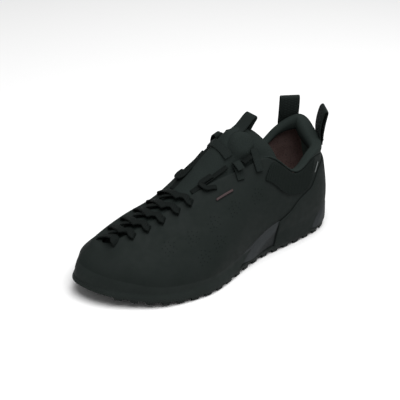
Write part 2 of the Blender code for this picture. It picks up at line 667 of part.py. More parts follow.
# folds from the edge on: distance over the throat, and height above the edge
OUTER_FOLD = ((0.0, 0.0021), (0.0028, 0.0044), (0.0040, 0.0066), (0.0020, 0.0076), (-0.0020, 0.0056),
              (-0.0050, 0.0035))
INNER_FOLD = ((0.0, 0.0024), (0.0005, 0.0060), (0.0020, 0.0105), (0.0055, 0.0125), (0.0072, 0.0100),
              (0.0050, 0.0062))
webbing_loop("webbing_loop_outer", -0.052, 1, OUTER_FOLD)
webbing_loop("webbing_loop_inner", -0.070, -1, INNER_FOLD)
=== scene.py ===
"""Approach shoe for the left foot, dressed on its frame. In metres: +X toe, +Y outer side, +Z up."""
import math
import bpy
import bmesh
import numpy as np
from mathutils import Matrix, Vector


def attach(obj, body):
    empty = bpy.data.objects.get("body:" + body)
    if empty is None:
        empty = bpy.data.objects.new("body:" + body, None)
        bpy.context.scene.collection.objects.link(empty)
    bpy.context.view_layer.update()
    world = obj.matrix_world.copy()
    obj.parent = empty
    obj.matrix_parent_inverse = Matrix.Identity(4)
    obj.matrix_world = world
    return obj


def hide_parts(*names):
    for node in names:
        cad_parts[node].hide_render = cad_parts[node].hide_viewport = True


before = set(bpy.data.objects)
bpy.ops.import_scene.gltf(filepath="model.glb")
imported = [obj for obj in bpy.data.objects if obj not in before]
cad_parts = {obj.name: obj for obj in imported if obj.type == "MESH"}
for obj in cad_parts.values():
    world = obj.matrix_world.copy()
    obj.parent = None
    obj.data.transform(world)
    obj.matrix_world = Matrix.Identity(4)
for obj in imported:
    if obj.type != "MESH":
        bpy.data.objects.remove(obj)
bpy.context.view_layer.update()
bpy.ops.object.select_all(action="DESELECT")

# Upper
# One wall of dark green grey microfibre, thermoformed over the last and turned in under the insole.
# It is cut from one sheet, with no seam on the toe, and its inside is faced with red brown lining cloth.
LENGTH = 0.286
BALL_WIDTH = 0.105
HEEL_HEIGHT = 0.096
WALL = 0.0022
TOE_SPRING = 0.011
SPRING_START = 0.050
HEEL_BEVEL = 0.003
BEVEL_START = -0.120
FLARE = 0.0008
# name, heading of the profile in degrees,
# feather point: along (share of LENGTH), across (share of BALL_WIDTH), height (share of HEEL_HEIGHT),
# lean of the wall in degrees, belly (share of HEEL_HEIGHT),
# top edge: along, across, height, slope in degrees, crown (share of HEEL_HEIGHT)
PROFILES = (
    ("heel back", 180, -0.49, -0.01, 0.25, 8, 0.25, -0.44, -0.02, 0.99, 84, 0.25),
    ("heel corner", 140, -0.45, 0.205, 0.23, 3, 0.24, -0.415, 0.18, 0.93, 82, 0.25),
    ("heel side", 105, -0.38, 0.31, 0.23, 8, 0.25, -0.345, 0.255, 0.89, 80, 0.23),
    ("ankle", 93, -0.27, 0.34, 0.22, 8, 0.23, -0.26, 0.285, 0.81, 78, 0.23),
    ("collar front", 90, -0.15, 0.345, 0.20, 8, 0.25, -0.175, 0.225, 1.005, 64, 0.27),
    ("instep", 88, -0.04, 0.385, 0.165, 8, 0.25, -0.09, 0.17, 0.955, 50, 0.29),
    ("waist", 85, 0.11, 0.495, 0.145, 8, 0.23, 0.03, 0.105, 0.87, 42, 0.29),
    ("ball", 81, 0.21, 0.50, 0.135, 6, 0.21, 0.16, 0.045, 0.72, 32, 0.29),
    ("little toe", 68, 0.315, 0.425, 0.135, 4, 0.19, 0.275, 0.005, 0.60, 26, 0.29),
    ("toe side", 50, 0.395, 0.28, 0.155, 3, 0.185, 0.355, -0.035, 0.53, 22, 0.23),
    ("toe corner", 26, 0.46, 0.095, 0.175, 2, 0.17, 0.375, -0.08, 0.475, 18, 0.19),
    ("toe tip", 0, 0.49, -0.165, 0.185, 2, 0.17, 0.38, -0.12, 0.445, 16, 0.18),
    ("big toe", -34, 0.445, -0.33, 0.18, 3, 0.17, 0.39, -0.18, 0.44, 16, 0.16),
    ("inner toe side", -66, 0.395, -0.45, 0.14, 3, 0.18, 0.345, -0.21, 0.48, 20, 0.16),
    ("inner ball", -80, 0.26, -0.50, 0.14, 5, 0.22, 0.245, -0.21, 0.575, 26, 0.21),
    ("inner waist", -88, 0.15, -0.48, 0.145, 6, 0.225, 0.145, -0.21, 0.67, 32, 0.25),
    ("inner instep", -92, 0.02, -0.41, 0.18, 8, 0.25, 0.03, -0.23, 0.89, 44, 0.27),
    ("inner collar front", -90, -0.11, -0.345, 0.21, 10, 0.25, -0.085, -0.26, 1.03, 56, 0.27),
    ("inner ankle front", -90, -0.21, -0.335, 0.23, 10, 0.25, -0.18, -0.285, 0.97, 66, 0.27),
    ("inner ankle", -92, -0.295, -0.345, 0.25, 10, 0.25, -0.285, -0.30, 0.815, 78, 0.23),
    ("inner heel side", -108, -0.385, -0.335, 0.25, 8, 0.25, -0.36, -0.30, 0.92, 80, 0.23),
    ("inner heel corner", -142, -0.455, -0.22, 0.25, 8, 0.25, -0.435, -0.195, 1.045, 82, 0.25),
)
ROWS = len(PROFILES)
SIZES = np.array((1, LENGTH, BALL_WIDTH, HEEL_HEIGHT, 1, HEEL_HEIGHT,
                  LENGTH, BALL_WIDTH, HEEL_HEIGHT, 1, HEEL_HEIGHT))
TABLE = np.array([row[1:] for row in PROFILES], float) * SIZES


def ring_bends(values):
    """Second derivatives of the smooth closed curve through evenly spaced rows."""
    rows = len(values)
    system = 4 * np.eye(rows) + np.roll(np.eye(rows), 1, 1) + np.roll(np.eye(rows), -1, 1)
    return np.linalg.solve(system, 6 * (np.roll(values, -1, 0) - 2 * values + np.roll(values, 1, 0)))


RAMPED = TABLE + np.outer(np.arange(ROWS) * 360 / ROWS, np.eye(11)[0])
BENDS = ring_bends(RAMPED)


def profile(turn):
    """Columns of the table at a place round the shoe: 0 heel, 3 ankle, 7 ball, 11 toe, 15 inner waist."""
    turn = np.asarray(turn, float)
    low = np.floor(turn).astype(int)
    part = (turn - low)[..., None]
    rest = 1 - part
    here = low % ROWS
    there = (low + 1) % ROWS
    row = rest * RAMPED[here] + part * RAMPED[there]
    row = row + ((rest ** 3 - rest) * BENDS[here] + (part ** 3 - part) * BENDS[there]) / 6
    row[..., 0] -= 360 * turn / ROWS
    return row


def spring(along):
    """Height of the ground side of the sole above the floor."""
    toe = np.clip((along - SPRING_START) / (LENGTH / 2 - SPRING_START), 0, None)
    heel = np.clip((BEVEL_START - along) / (LENGTH / 2 + BEVEL_START), 0, None)
    return TOE_SPRING * toe ** 2 + HEEL_BEVEL * heel ** 2


def skin(turn, level):
    """Outside of the shoe. Level 0 is the feather line, 1 the top edge and -1 the ground."""
    turn, level = np.broadcast_arrays(np.asarray(turn, float), np.asarray(level, float))
    row = profile(turn)
    heading = np.radians(row[..., 0])
    away = np.stack((np.cos(heading), np.sin(heading), 0 * heading), -1)
    lift = np.array((0.0, 0.0, 1.0))
    lean = np.radians(row[..., 4:5])
    slope = np.radians(row[..., 9:10])
    feather = row[..., 1:4]
    edge = row[..., 6:9]
    low = feather + row[..., 5:6] * (np.sin(lean) * away + np.cos(lean) * lift)
    high = edge + row[..., 10:11] * (np.cos(slope) * away - np.sin(slope) * lift)
    rise = np.clip(level, 0, None)[..., None]
    fall = 1 - rise
    point = fall ** 3 * feather + 3 * fall ** 2 * rise * low + 3 * fall * rise ** 2 * high + rise ** 3 * edge
    depth = np.clip(-level, 0, None)[..., None]
    reach = np.clip(depth / 0.6, 0, 1)
    drop = feather[..., 2:3] - spring(feather[..., 0:1])
    return point + FLARE * (3 * reach ** 2 - 2 * reach ** 3) * away - depth * drop * lift


def layer(turn, level, out):
    """Outside of the shoe moved out along its own normal."""
    turn, level, out = np.broadcast_arrays(np.asarray(turn, float), np.asarray(level, float), out)
    step = 0.02
    round_way = skin(turn + step, level) - skin(turn - step, level)
    up_way = skin(turn, np.clip(level + step, None, 1)) - skin(turn, np.clip(level - step, None, 1))
    normal = np.cross(up_way, round_way)
    normal = normal / np.linalg.norm(normal, axis=-1, keepdims=True)
    return skin(turn, level) + normal * out[..., None]


def by_turn(table, turn):
    """Value at a place round the shoe from pairs of turn and value."""
    return np.interp(np.mod(turn, ROWS), [pair[0] for pair in table], [pair[1] for pair in table])


def points_of(piece):
    """The piece's points, one in each row."""
    points = np.empty(len(piece.data.vertices) * 3)
    piece.data.vertices.foreach_get("co", points)
    return points.reshape(-1, 3)


def edited(step, **settings):
    """One step of edit mode on the whole mesh of the active piece."""
    bpy.ops.object.mode_set(mode="EDIT")
    bpy.ops.mesh.select_all(action="SELECT")
    step(**settings)
    bpy.ops.object.mode_set(mode="OBJECT")


def wrap(name, columns, rows, place, merge=False, flip=False):
    """A grid laid on the shoe: place gives its points for shares across and up the grid."""
    bpy.ops.object.select_all(action="DESELECT")
    bpy.ops.mesh.primitive_grid_add(x_subdivisions=columns, y_subdivisions=rows, size=1, calc_uvs=True)
    piece = bpy.context.active_object
    piece.name = name
    piece.data.name = name
    shares = points_of(piece) + 0.5
    points = place(shares[:, 0], shares[:, 1])
    piece.data.vertices.foreach_set("co", points.ravel())
    if flip:
        edited(bpy.ops.mesh.flip_normals)
    if merge:
        edited(bpy.ops.mesh.remove_doubles, threshold=0.00002)
    bpy.ops.object.shade_smooth()
    return piece


def applied(piece, kind, **settings):
    """A modifier with its settings, applied at once."""
    bpy.context.view_layer.objects.active = piece
    added = piece.modifiers.new(kind.title(), kind)
    for name, value in settings.items():
        setattr(added, name, value)
    bpy.ops.object.modifier_apply(modifier=added.name)
    return piece


def dressed(piece, slot, *materials, stands_for=()):
    """Gives the piece its materials and body, and hides the solids that it stands for. The slot is not used.
    """
    for made in materials:
        piece.data.materials.append(made)
    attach(piece, "root")
    if stands_for:
        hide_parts(*stands_for)
    return piece


class Finish:
    """A material built node by node on one Principled shader."""

    def __init__(self, name, colour, rough, **sockets):
        self.material = bpy.data.materials.new(name)
        self.material.use_nodes = True
        self.tree = self.material.node_tree
        self.shader = self.tree.nodes["Principled BSDF"]
        self.shader.inputs["Base Color"].default_value = (*colour, 1)
        self.shader.inputs["Roughness"].default_value = rough
        for socket, value in sockets.items():
            self.shader.inputs[socket.replace("_", " ")].default_value = value
        self.colour = colour

    def add(self, kind, **inputs):
        """A node with values or links on its inputs."""
        node = self.tree.nodes.new(kind)
        for name, value in inputs.items():
            socket = node.inputs[name.replace("_", " ")]
            if isinstance(value, bpy.types.NodeSocket):
                self.tree.links.new(value, socket)
            else:
                socket.default_value = value
        return node

    def place(self, stretch=(1, 1, 1), uv=False, turn=0.0):
        """Object coordinates, or the piece's own UV map, stretched and turned."""
        source = self.tree.nodes.new("ShaderNodeTexCoord")
        mapping = self.tree.nodes.new("ShaderNodeMapping")
        self.tree.links.new(source.outputs["UV" if uv else "Object"], mapping.inputs["Vector"])
        mapping.inputs["Scale"].default_value = stretch
        mapping.inputs["Rotation"].default_value = (0, 0, turn)
        return mapping.outputs["Vector"]

    def noise(self, scale, detail=3.0, stretch=(1, 1, 1), uv=False):
        node = self.add("ShaderNodeTexNoise", Vector=self.place(stretch, uv), Scale=scale, Detail=detail)
        return node.outputs["Fac"]

    def spread(self, value, low, high, to_low, to_high):
        """A value's range carried over to another range."""
        node = self.add("ShaderNodeMapRange", Value=value, From_Min=low, From_Max=high,
                        To_Min=to_low, To_Max=to_high)
        return node.outputs["Result"]

    def maths(self, operation, first, second=0.0):
        node = self.tree.nodes.new("ShaderNodeMath")
        node.operation = operation
        for socket, value in zip(node.inputs, (first, second)):
            if isinstance(value, bpy.types.NodeSocket):
                self.tree.links.new(value, socket)
            else:
                socket.default_value = value
        return node.outputs[0]

    def tint(self, share, colour):
        """The base colour goes to another colour by a share from 0 to 1."""
        socket = self.shader.inputs["Base Color"]
        mix = self.tree.nodes.new("ShaderNodeMix")
        mix.data_type = "RGBA"
        mix.inputs[6].default_value = (*self.colour, 1)
        mix.inputs[7].default_value = (*colour, 1)
        if socket.is_linked:
            self.tree.links.new(socket.links[0].from_socket, mix.inputs[6])
        self.tree.links.new(share, mix.inputs[0])
        self.tree.links.new(mix.outputs[2], socket)
        return self

    def cloud(self, scale, detail, high, colour):
        """Goes to another colour where a soft noise is high."""
        return self.tint(self.spread(self.noise(scale, detail), 0.35, high, 0, 1), colour)

    def grain(self, scale, detail, distance, strength):
        """Bump from a noise."""
        return self.relief(self.noise(scale, detail), distance, strength)

    def rough(self, value):
        self.tree.links.new(value, self.shader.inputs["Roughness"])
        return self

    def relief(self, height, distance, strength=1.0):
        """Bump from a height, on top of the bumps already there."""
        node = self.add("ShaderNodeBump", Height=height, Distance=distance, Strength=strength)
        socket = self.shader.inputs["Normal"]
        if socket.is_linked:
            self.tree.links.new(socket.links[0].from_socket, node.inputs["Normal"])
        self.tree.links.new(node.outputs["Normal"], socket)
        return self


def lighter(colour, times):
    """A colour with its channels multiplied."""
    return tuple(times * value for value in colour)


def microfibre_finish(name):
    """Fine suede like nap with a soft clouding, and a faint grain."""
    made = Finish(name, (0.0095, 0.0130, 0.0118), 0.74, Specular_IOR_Level=0.08)
    made.cloud(38, 4, 0.70, (0.0118, 0.0152, 0.0142))
    made.rough(made.spread(made.noise(160, 3), 0.3, 0.7, 0.66, 0.80))
    made.grain(1500, 3, 0.00006, 0.55)
    made.grain(420, 2, 0.00008, 0.25)
    return made.material


def lining_finish(name, uv_stretch):
    """Open red brown mesh cloth over foam."""
    made = Finish(name, (0.145, 0.093, 0.085), 0.85, Specular_IOR_Level=0.15, Sheen_Weight=0.05)
    made.cloud(60, 3, 0.65, (0.175, 0.120, 0.110))
    cells = made.add("ShaderNodeTexVoronoi", Vector=made.place(uv_stretch, True), Scale=1.0)
    hole = made.spread(cells.outputs["Distance"], 0.15, 0.45, 0, 1)
    made.tint(made.maths("MULTIPLY", made.maths("SUBTRACT", 1.0, hole), 0.5), (0.055, 0.032, 0.029))
    made.relief(hole, 0.00025, 0.6)
    return made.material


# where the upper stands on the sole's rim, and where the collar pad sits on it: pairs of turn and level
RIM = ((0, 0.08), (2, 0.09), (3, 0.14), (3.75, 0.17), (4.25, 0.13), (4.75, 0.07), (5.5, 0),
       (16.25, 0), (17, 0.06), (17.5, 0.13), (17.75, 0.16), (18.25, 0.15), (20, 0.09), (22, 0.08))
PAD = ((0, 0.86), (1.2, 0.88), (2, 0.93), (3, 0.955), (4, 0.965), (4.5, 1), (17.25, 1), (18, 0.965),
       (19, 0.955), (20, 0.93), (20.8, 0.88), (22, 0.86))
RIM_GAP = 0.007
PAD_LAP = 0.006
# columns round the shoe and rings up the wall
RING_COLUMNS = 352
WALL_RINGS = 56
# soft troughs of the vamp and the ankle: turn, level, reach round, reach up, depth
CREASES = ((7.3, 0.70, 0.55, 0.035, 0.00045), (6.6, 0.64, 0.70, 0.040, 0.00035),
           (14.6, 0.68, 0.60, 0.040, 0.00045), (4.75, 0.80, 0.22, 0.090, 0.00050),
           (2.3, 0.72, 0.45, 0.050, 0.00035), (17.1, 0.82, 0.25, 0.080, 0.00050))
# the vamp stands fuller beside the laces on the inner side: turn, level, reach round, reach up, distance
FULL_SIDE = (13.8, 0.82, 2.6, 0.14, 0.0035)


def swell(turn, level, hump):
    """Height of a soft hump on the wall."""
    middle, height, reach, tall, most = hump
    return most * np.exp(-((turn - middle) / reach) ** 2 - ((level - height) / tall) ** 2)


def wall_out(turn, level):
    """How far the soft wall stands out of its plain form."""
    return swell(turn, level, FULL_SIDE) - sum(swell(turn, level, crease) for crease in CREASES)


def upper_place(across, up):
    turn = ROWS * (1 - across)
    base = by_turn(RIM, turn) + RIM_GAP
    crest = by_turn(PAD, turn)
    crest = np.where(crest < 1, crest - PAD_LAP, 1)
    level = base * (1 - up) + crest * up
    return layer(turn, level, wall_out(turn, level))


upper = wrap("upper_wall", RING_COLUMNS, WALL_RINGS, upper_place, merge=True)
upper_skin = microfibre_finish("green grey microfibre")
upper_lining = lining_finish("red brown lining of the wall", (260, 42, 1))
upper.data.materials.append(upper_skin)
upper.data.materials.append(upper_lining)
applied(upper, "SOLIDIFY", thickness=WALL, offset=-1, material_offset=1, material_offset_rim=0)
dressed(upper, "microfibre", stands_for=("upper",))

# Rubber rand
# A moulded black rubber band round the front half, thinned to nothing at its top edge.
# It is glued to the upper's foot, and laps the rim of the outsole's plate.
RAND_THICK = 0.0018
RAND_SINK = 0.0006
RAND_FOOT = 0.0034
LAYER_GAP = 0.0004
TOE_TURN = 11
# turn and level of the lower end, then of the upper end, from the rear to the toe
RAND_HALF = ((5.60, -1, 4.76, 0.085), (5.85, -1, 5.3, 0.13), (6.3, -1, 6.2, 0.15), (7, -1, 7, 0.18),
             (8, -1, 8, 0.22), (9, -1, 9, 0.29), (10, -1, 10, 0.37))
RAND_TOE = (TOE_TURN, -1, TOE_TURN, 0.42)
# a layer's ends: share of its length that they thin over, share of its thickness left there, body of the film
END_REACH = 0.006
END_SHARE = 0.35
FILM_BODY = 0.0006
RUBBER_BLOOM = 1.18


def foot_level(turn):
    """Level at the foot of the outsole's plate, which the rubber laps."""
    row = profile(turn)
    return RAND_FOOT / (row[..., 3] - spring(row[..., 1])) - 1


def smooth_table(table, share):
    """The rows of a table passed through smoothly, at shares from 0 to 1 of its length."""
    table = np.asarray(table, float)
    place = np.clip(share, 0, 1) * (len(table) - 1)
    low = np.clip(np.floor(place).astype(int), 0, len(table) - 2)
    part = (place - low)[:, None]
    before = table[np.clip(low - 1, 0, None)]
    here = table[low]
    there = table[low + 1]
    beyond = table[np.clip(low + 2, None, len(table) - 1)]
    return here + 0.5 * part * (there - before + part * (
        2 * before - 5 * here + 4 * there - beyond + part * (3 * (here - there) + beyond - before)))


def inner_turn(turn):
    """Place on the inner side with the same distance from the toe along the feather line."""
    way = np.linspace(0, TOE_TURN, 441)
    return float(-np.interp(profile(turn)[..., 1], profile(-way)[..., 1], way))


def mirrored(table):
    """The same layer on the inner side, by distance from the toe."""
    return [(inner_turn(a), b, inner_turn(c), d) for a, b, c, d in table]


def overlay(name, table, columns, rows, low_out, thick, eased, sink=0.0, soft=False):
    """A layer on the shoe from rows of turn and level of its lower end, then of its upper end.
    Its upper edge thins over the eased share of its height, and sinks into what lies under it."""
    def place(across, up):
        row = smooth_table(table, across)
        turn = row[:, 0] * (1 - up) + row[:, 2] * up
        level = np.maximum(row[:, 1], foot_level(row[:, 0])) * (1 - up) + row[:, 3] * up
        thin = np.clip((1 - up) / eased, 0, 1)
        ends = np.clip(np.minimum(across, 1 - across) / END_REACH, 0, 1)
        shoulder = thin * thin * (3 - 2 * thin) if soft else np.sqrt(np.clip(thin * (2 - thin), 0, 1))
        full = shoulder * (END_SHARE + (1 - END_SHARE) * ends)
        return layer(turn, level, low_out + thick * full - sink * (1 - thin) ** 2)
    piece = wrap(name, columns, rows, place, flip=True)
    applied(piece, "SOLIDIFY", thickness=FILM_BODY, offset=-1)
    return piece


def rubber_finish(name, colour, rough=0.55):
    """Matte moulded rubber with a fine stipple and a dusty bloom."""
    made = Finish(name, colour, rough, Specular_IOR_Level=0.10)
    made.cloud(45, 4, 0.7, lighter(colour, RUBBER_BLOOM))
    made.rough(made.spread(made.noise(220, 3), 0.3, 0.7, rough - 0.07, rough + 0.07))
    made.grain(2200, 2, 0.00005, 0.5)
    made.grain(300, 2, 0.00006, 0.2)
    return made.material


rand_table = list(RAND_HALF) + [RAND_TOE]
rand_table += [(a % ROWS, b, c % ROWS, d) for a, b, c, d in mirrored(RAND_HALF)[::-1]]
rand = overlay("toe_rand", rand_table, 300, 26, LAYER_GAP, RAND_THICK, 1.0, RAND_SINK, True)
rand_rubber = rubber_finish("black rand rubber", (0.0120, 0.0158, 0.0146), 0.72)
dressed(rand, "rubber", rand_rubber, stands_for=("rand",))

# Midsole
# A moulded cup of blue grey foam, glued under the upper and round the insole. The overlays leave it bare
# in a slanted window on each side and at the heel, where it stands out in flat facets.
FOOTBED = 0.017
TOE_BED = 0.0115
SOLE_BOTTOM = 0.0068
FOAM_BULGE = 0.0026
# lines round each window with the foam on their left: a point along and up in shares, heading in degrees
SIDE_WINDOW = ((-0.012, 0.075, 146), (-0.090, 0.240, 165), (-0.186, 0.326, -73))
HEEL_WINDOW = ((-0.360, 0.280, 180), (-0.338, 0.070, 135))
SIDE_RIDGE = (-0.080, 0.099, 149)
RIDGE_WIDTH = 0.0016
WINDOW_EDGE = 0.0004
WINDOW_RISE = 0.6
RIDGE_FALL = 0.22
MARK_REACH = 0.006


def left_of(points, line):
    """Distance of points on the side of the shoe to the left of a line."""
    along, height, way = line
    angle = math.radians(way)
    rise = points[..., 2] - height * HEEL_HEIGHT
    return rise * math.cos(angle) - (points[..., 0] - along * LENGTH) * math.sin(angle)


def window_out(points, lines):
    """How far the foam stands out at points, inside the lines."""
    depth = np.min([left_of(points, line) for line in lines], axis=0)
    return np.clip((depth - WINDOW_EDGE) * WINDOW_RISE, 0, FOAM_BULGE)


def foam_out(turn, level):
    """The foam's rise in both windows, falling away again under the ridge of the side window."""
    points = skin(turn, level)
    under = FOAM_BULGE - RIDGE_FALL * left_of(points, SIDE_RIDGE)
    side = np.clip(np.minimum(window_out(points, SIDE_WINDOW), under), 0, None)
    return np.maximum(side, window_out(points, HEEL_WINDOW))


# the sole's middle line, in shares: its half length, where it bends to the toe, how far aside it ends
MIDDLE_HALF = 0.36
MIDDLE_BEND = 0.2
MIDDLE_ASIDE = -0.086
BED_SLOPE = (-0.2, 0.15)


def drawn_in(ring, share):
    """A ring drawn in towards the middle line of the sole."""
    middle = ring.copy()
    half = MIDDLE_HALF * LENGTH
    middle[..., 0] = np.clip(ring[..., 0], -half, half)
    middle[..., 1] = np.interp(middle[..., 0], (MIDDLE_BEND * LENGTH, half), (0, MIDDLE_ASIDE * BALL_WIDTH))
    return ring * (1 - share) + middle * share


def bed_height(points):
    """Height of the cup's bed, which falls towards the toe."""
    slope = [share * LENGTH for share in BED_SLOPE]
    return spring(points[..., 0]) + np.interp(points[..., 0], slope, (FOOTBED, TOE_BED))


MIDSOLE_STEPS = 44
# how far in the foot of the cup, its rim and its inner lip stand, and how far the rings are drawn in
FOOT_IN = 0.0015
RIM_IN = 0.0042
LIP_IN = 0.0045
SOLE_SHARE = 0.7
LIP_SHARE = 0.10
BED_SHARE = 0.6


def from_rings(rings, up):
    """Points taken from whole rings, each at its own share of the way up."""
    step = np.round(up * (len(rings) - 1)).astype(int)
    chosen = np.zeros_like(rings[0])
    for number, ring in enumerate(rings):
        chosen[step == number] = ring[step == number]
    return chosen


def foam_foot(turn):
    """Level at which the foam stands on the outsole."""
    row = profile(turn)
    return -1 + SOLE_BOTTOM / (row[..., 3] - spring(row[..., 1]))


def midsole_place(across, up):
    """Rings from the middle of the sole up the outside of the cup, over its rim and in to its bed."""
    turn = ROWS * (1 - across)
    start = foam_foot(turn)
    top = by_turn(RIM, turn)
    step = np.round(up * MIDSOLE_STEPS).astype(int)
    part = np.clip((step - 2) / (MIDSOLE_STEPS - 6), 0, 1)
    level = start * (1 - part) + top * part
    wall = layer(turn, level, foam_out(turn, level))
    foot = layer(turn, start, -FOOT_IN)
    foot[:, 2] = spring(foot[:, 0]) + SOLE_BOTTOM
    sole = drawn_in(foot, SOLE_SHARE)
    rim = layer(turn, top, -RIM_IN)
    lip = drawn_in(layer(turn, np.clip(top, None, 0), -LIP_IN), LIP_SHARE)
    lip[:, 2] = bed_height(lip)
    bed = drawn_in(lip, BED_SHARE)
    bed[:, 2] = bed_height(bed)
    middle = drawn_in(lip, 1.0)
    middle[:, 2] = bed_height(middle)
    chosen = wall.copy()
    for number, ring in ((0, sole), (1, foot), (MIDSOLE_STEPS - 3, rim), (MIDSOLE_STEPS - 2, lip),
                         (MIDSOLE_STEPS - 1, bed), (MIDSOLE_STEPS, middle)):
        chosen[step == number] = ring[step == number]
    return chosen


def foam_finish(name):
    """Compression moulded foam: closed skin with faint pores, darkened on the side windows' lower facet as
    painted shade.
    """
    made = Finish(name, (0.0270, 0.0305, 0.0320), 0.72, Specular_IOR_Level=0.10)
    made.cloud(70, 4, 0.7, (0.0310, 0.0345, 0.0360))
    cells = made.add("ShaderNodeTexVoronoi", Vector=made.place(), Scale=1400.0)
    made.relief(cells.outputs["Distance"], 0.00006, 0.35)
    made.grain(260, 3, 0.00008, 0.3)
    # painted shade: the facet under the side window's ridge is tinted darker, towards the heel cap's tone
    lower = made.tree.nodes.new("ShaderNodeAttribute")
    lower.attribute_name = "painted_shade_under_ridge"
    made.tint(lower.outputs["Fac"], (0.0175, 0.0200, 0.0208))
    return made.material


def mark_painted_shade_facet(piece):
    """Marks the side windows' facet under the ridge, where the foam's colour is darkened as painted shade."""
    points = points_of(piece)
    inside = np.min([left_of(points, line) for line in SIDE_WINDOW], axis=0) > -MARK_REACH
    under = np.clip(left_of(points, SIDE_RIDGE) / RIDGE_WIDTH + 0.5, 0, 1) * inside
    marked = piece.data.attributes.new("painted_shade_under_ridge", "FLOAT", "POINT")
    marked.data.foreach_set("value", under)


midsole = wrap("midsole_foam", RING_COLUMNS, MIDSOLE_STEPS, midsole_place, merge=True)
mark_painted_shade_facet(midsole)
foam = foam_finish("blue grey foam")
dressed(midsole, "foam", foam, stands_for=("midsole",))

# Outsole
# A black rubber plate with its lugs moulded in one piece, glued under the foam.
# The lugs are blocks round the edge and studs under the ball and the heel.
TREAD = 0.0030
PLATE = 0.0035
PLATE_OUT = 0.0020
EDGE_LUGS = 47
TOE_LUGS = (22, 28)
LUG_GAP = 0.0068
EDGE_IN = 0.0002
PLATE_LEVEL = -0.72
BLOCK_TALL = TREAD + 0.0012
LUG_DEPTHS = (0.010, 0.013)
LUG_TAPER = 0.06
LUG_BEVEL = 0.07
STUD_RADIUS = 0.0048
STUD_BEVEL = 0.0004
# places of the studs, along and across in shares
STUDS = ((-0.40, 0.0), (-0.33, -0.07), (-0.33, 0.09), (-0.26, 0.01), (0.13, -0.20), (0.13, 0.0),
         (0.13, 0.20), (0.20, -0.24), (0.20, -0.06), (0.20, 0.12), (0.27, -0.20), (0.27, -0.02),
         (0.27, 0.14), (0.335, -0.24), (0.335, -0.08), (0.335, 0.06), (0.39, -0.20), (0.39, -0.06))
# rings of the plate from its middle below to its middle above: share drawn in, distance out, height
PLATE_RINGS = ((1.0, 0.0002, TREAD), (0.5, 0.0002, TREAD), (0, -0.0006, TREAD), (0, 0.0012, TREAD + 0.0003),
               (0, 0.0019, TREAD + 0.0009), (0, 0.0020, TREAD + 0.0018), (0, 0.0020, TREAD + 0.0030),
               (0, 0.0015, TREAD + PLATE), (0, -0.0015, TREAD + PLATE), (0.5, -0.0015, TREAD + PLATE),
               (1.0, -0.0015, TREAD + PLATE))


def plate_place(across, up):
    turn = ROWS * (1 - across)
    rings = []
    for share, out, height in PLATE_RINGS:
        ring = drawn_in(layer(turn, foam_foot(turn), out), share)
        ring[:, 2] = spring(ring[:, 0]) + height
        rings.append(ring)
    return from_rings(rings, up)


outsole = wrap("outsole_rubber", RING_COLUMNS, len(PLATE_RINGS) - 1, plate_place, merge=True)
outline = layer(np.linspace(0, ROWS, 1761), PLATE_LEVEL, PLATE_OUT)[:, :2]
walked = np.concatenate(((0,), np.cumsum(np.linalg.norm(np.diff(outline, axis=0), axis=1))))
pitch = walked[-1] / EDGE_LUGS


def edge_frame(distance, inward):
    """A point of the sole's outline moved in, and the way along the outline there."""
    at = np.array([np.interp(distance % walked[-1], walked, outline[:, k]) for k in (0, 1)])
    ahead = np.array([np.interp((distance + 0.001) % walked[-1], walked, outline[:, k]) for k in (0, 1)])
    way = (ahead - at) / np.linalg.norm(ahead - at)
    return at + inward * np.array((way[1], -way[0])), way


def edge_lug(middle, way, long, wide):
    """A bevelled block from inside the plate down to the ground, its bottom a little smaller."""
    bpy.ops.object.select_all(action="DESELECT")
    bpy.ops.mesh.primitive_cube_add(size=1)
    block = bpy.context.active_object
    block.name = "edge_lug"
    edited(bpy.ops.mesh.bevel, offset=LUG_BEVEL, segments=2, profile=0.6, affect="EDGES")
    for vertex in block.data.vertices:
        along, across, up = vertex.co
        taper = (1 - LUG_TAPER) + LUG_TAPER * (up + 0.5)
        flat = middle + way * along * long * taper + np.array((-way[1], way[0])) * across * wide * taper
        ground = spring(flat[0])
        vertex.co = (flat[0], flat[1], ground + (up + 0.5) * BLOCK_TALL)
    return block


def round_stud(x, y):
    """A bevelled stud standing on the ground."""
    bpy.ops.object.select_all(action="DESELECT")
    bpy.ops.mesh.primitive_cylinder_add(vertices=24, radius=STUD_RADIUS, depth=BLOCK_TALL)
    stud = bpy.context.active_object
    edited(bpy.ops.mesh.bevel, offset=STUD_BEVEL, segments=2, affect="EDGES")
    for vertex in stud.data.vertices:
        ground = spring(np.array(vertex.co.x + x))
        vertex.co = (vertex.co.x + x, vertex.co.y + y, vertex.co.z + BLOCK_TALL / 2 + ground)
    return stud


blocks = []
for number in range(EDGE_LUGS):
    deep = LUG_DEPTHS[number % 2]
    middle, way = edge_frame(number * pitch, (deep + EDGE_IN) / 2)
    if not TOE_LUGS[0] <= number < TOE_LUGS[1]:
        blocks.append(edge_lug(middle, way, pitch - LUG_GAP, deep - EDGE_IN))
for along, across in STUDS:
    blocks.append(round_stud(along * LENGTH, across * BALL_WIDTH))


def joined(target, others):
    """Several objects made one."""
    bpy.ops.object.select_all(action="DESELECT")
    for other in others:
        other.select_set(True)
    target.select_set(True)
    bpy.context.view_layer.objects.active = target
    bpy.ops.object.join()
    return target


joined(outsole, blocks)
applied(outsole, "EDGE_SPLIT", split_angle=math.radians(45))
outsole_rubber = rubber_finish("black outsole rubber", (0.0100, 0.0128, 0.0120), 0.68)
dressed(outsole, "rubber", outsole_rubber, stands_for=("outsole",))

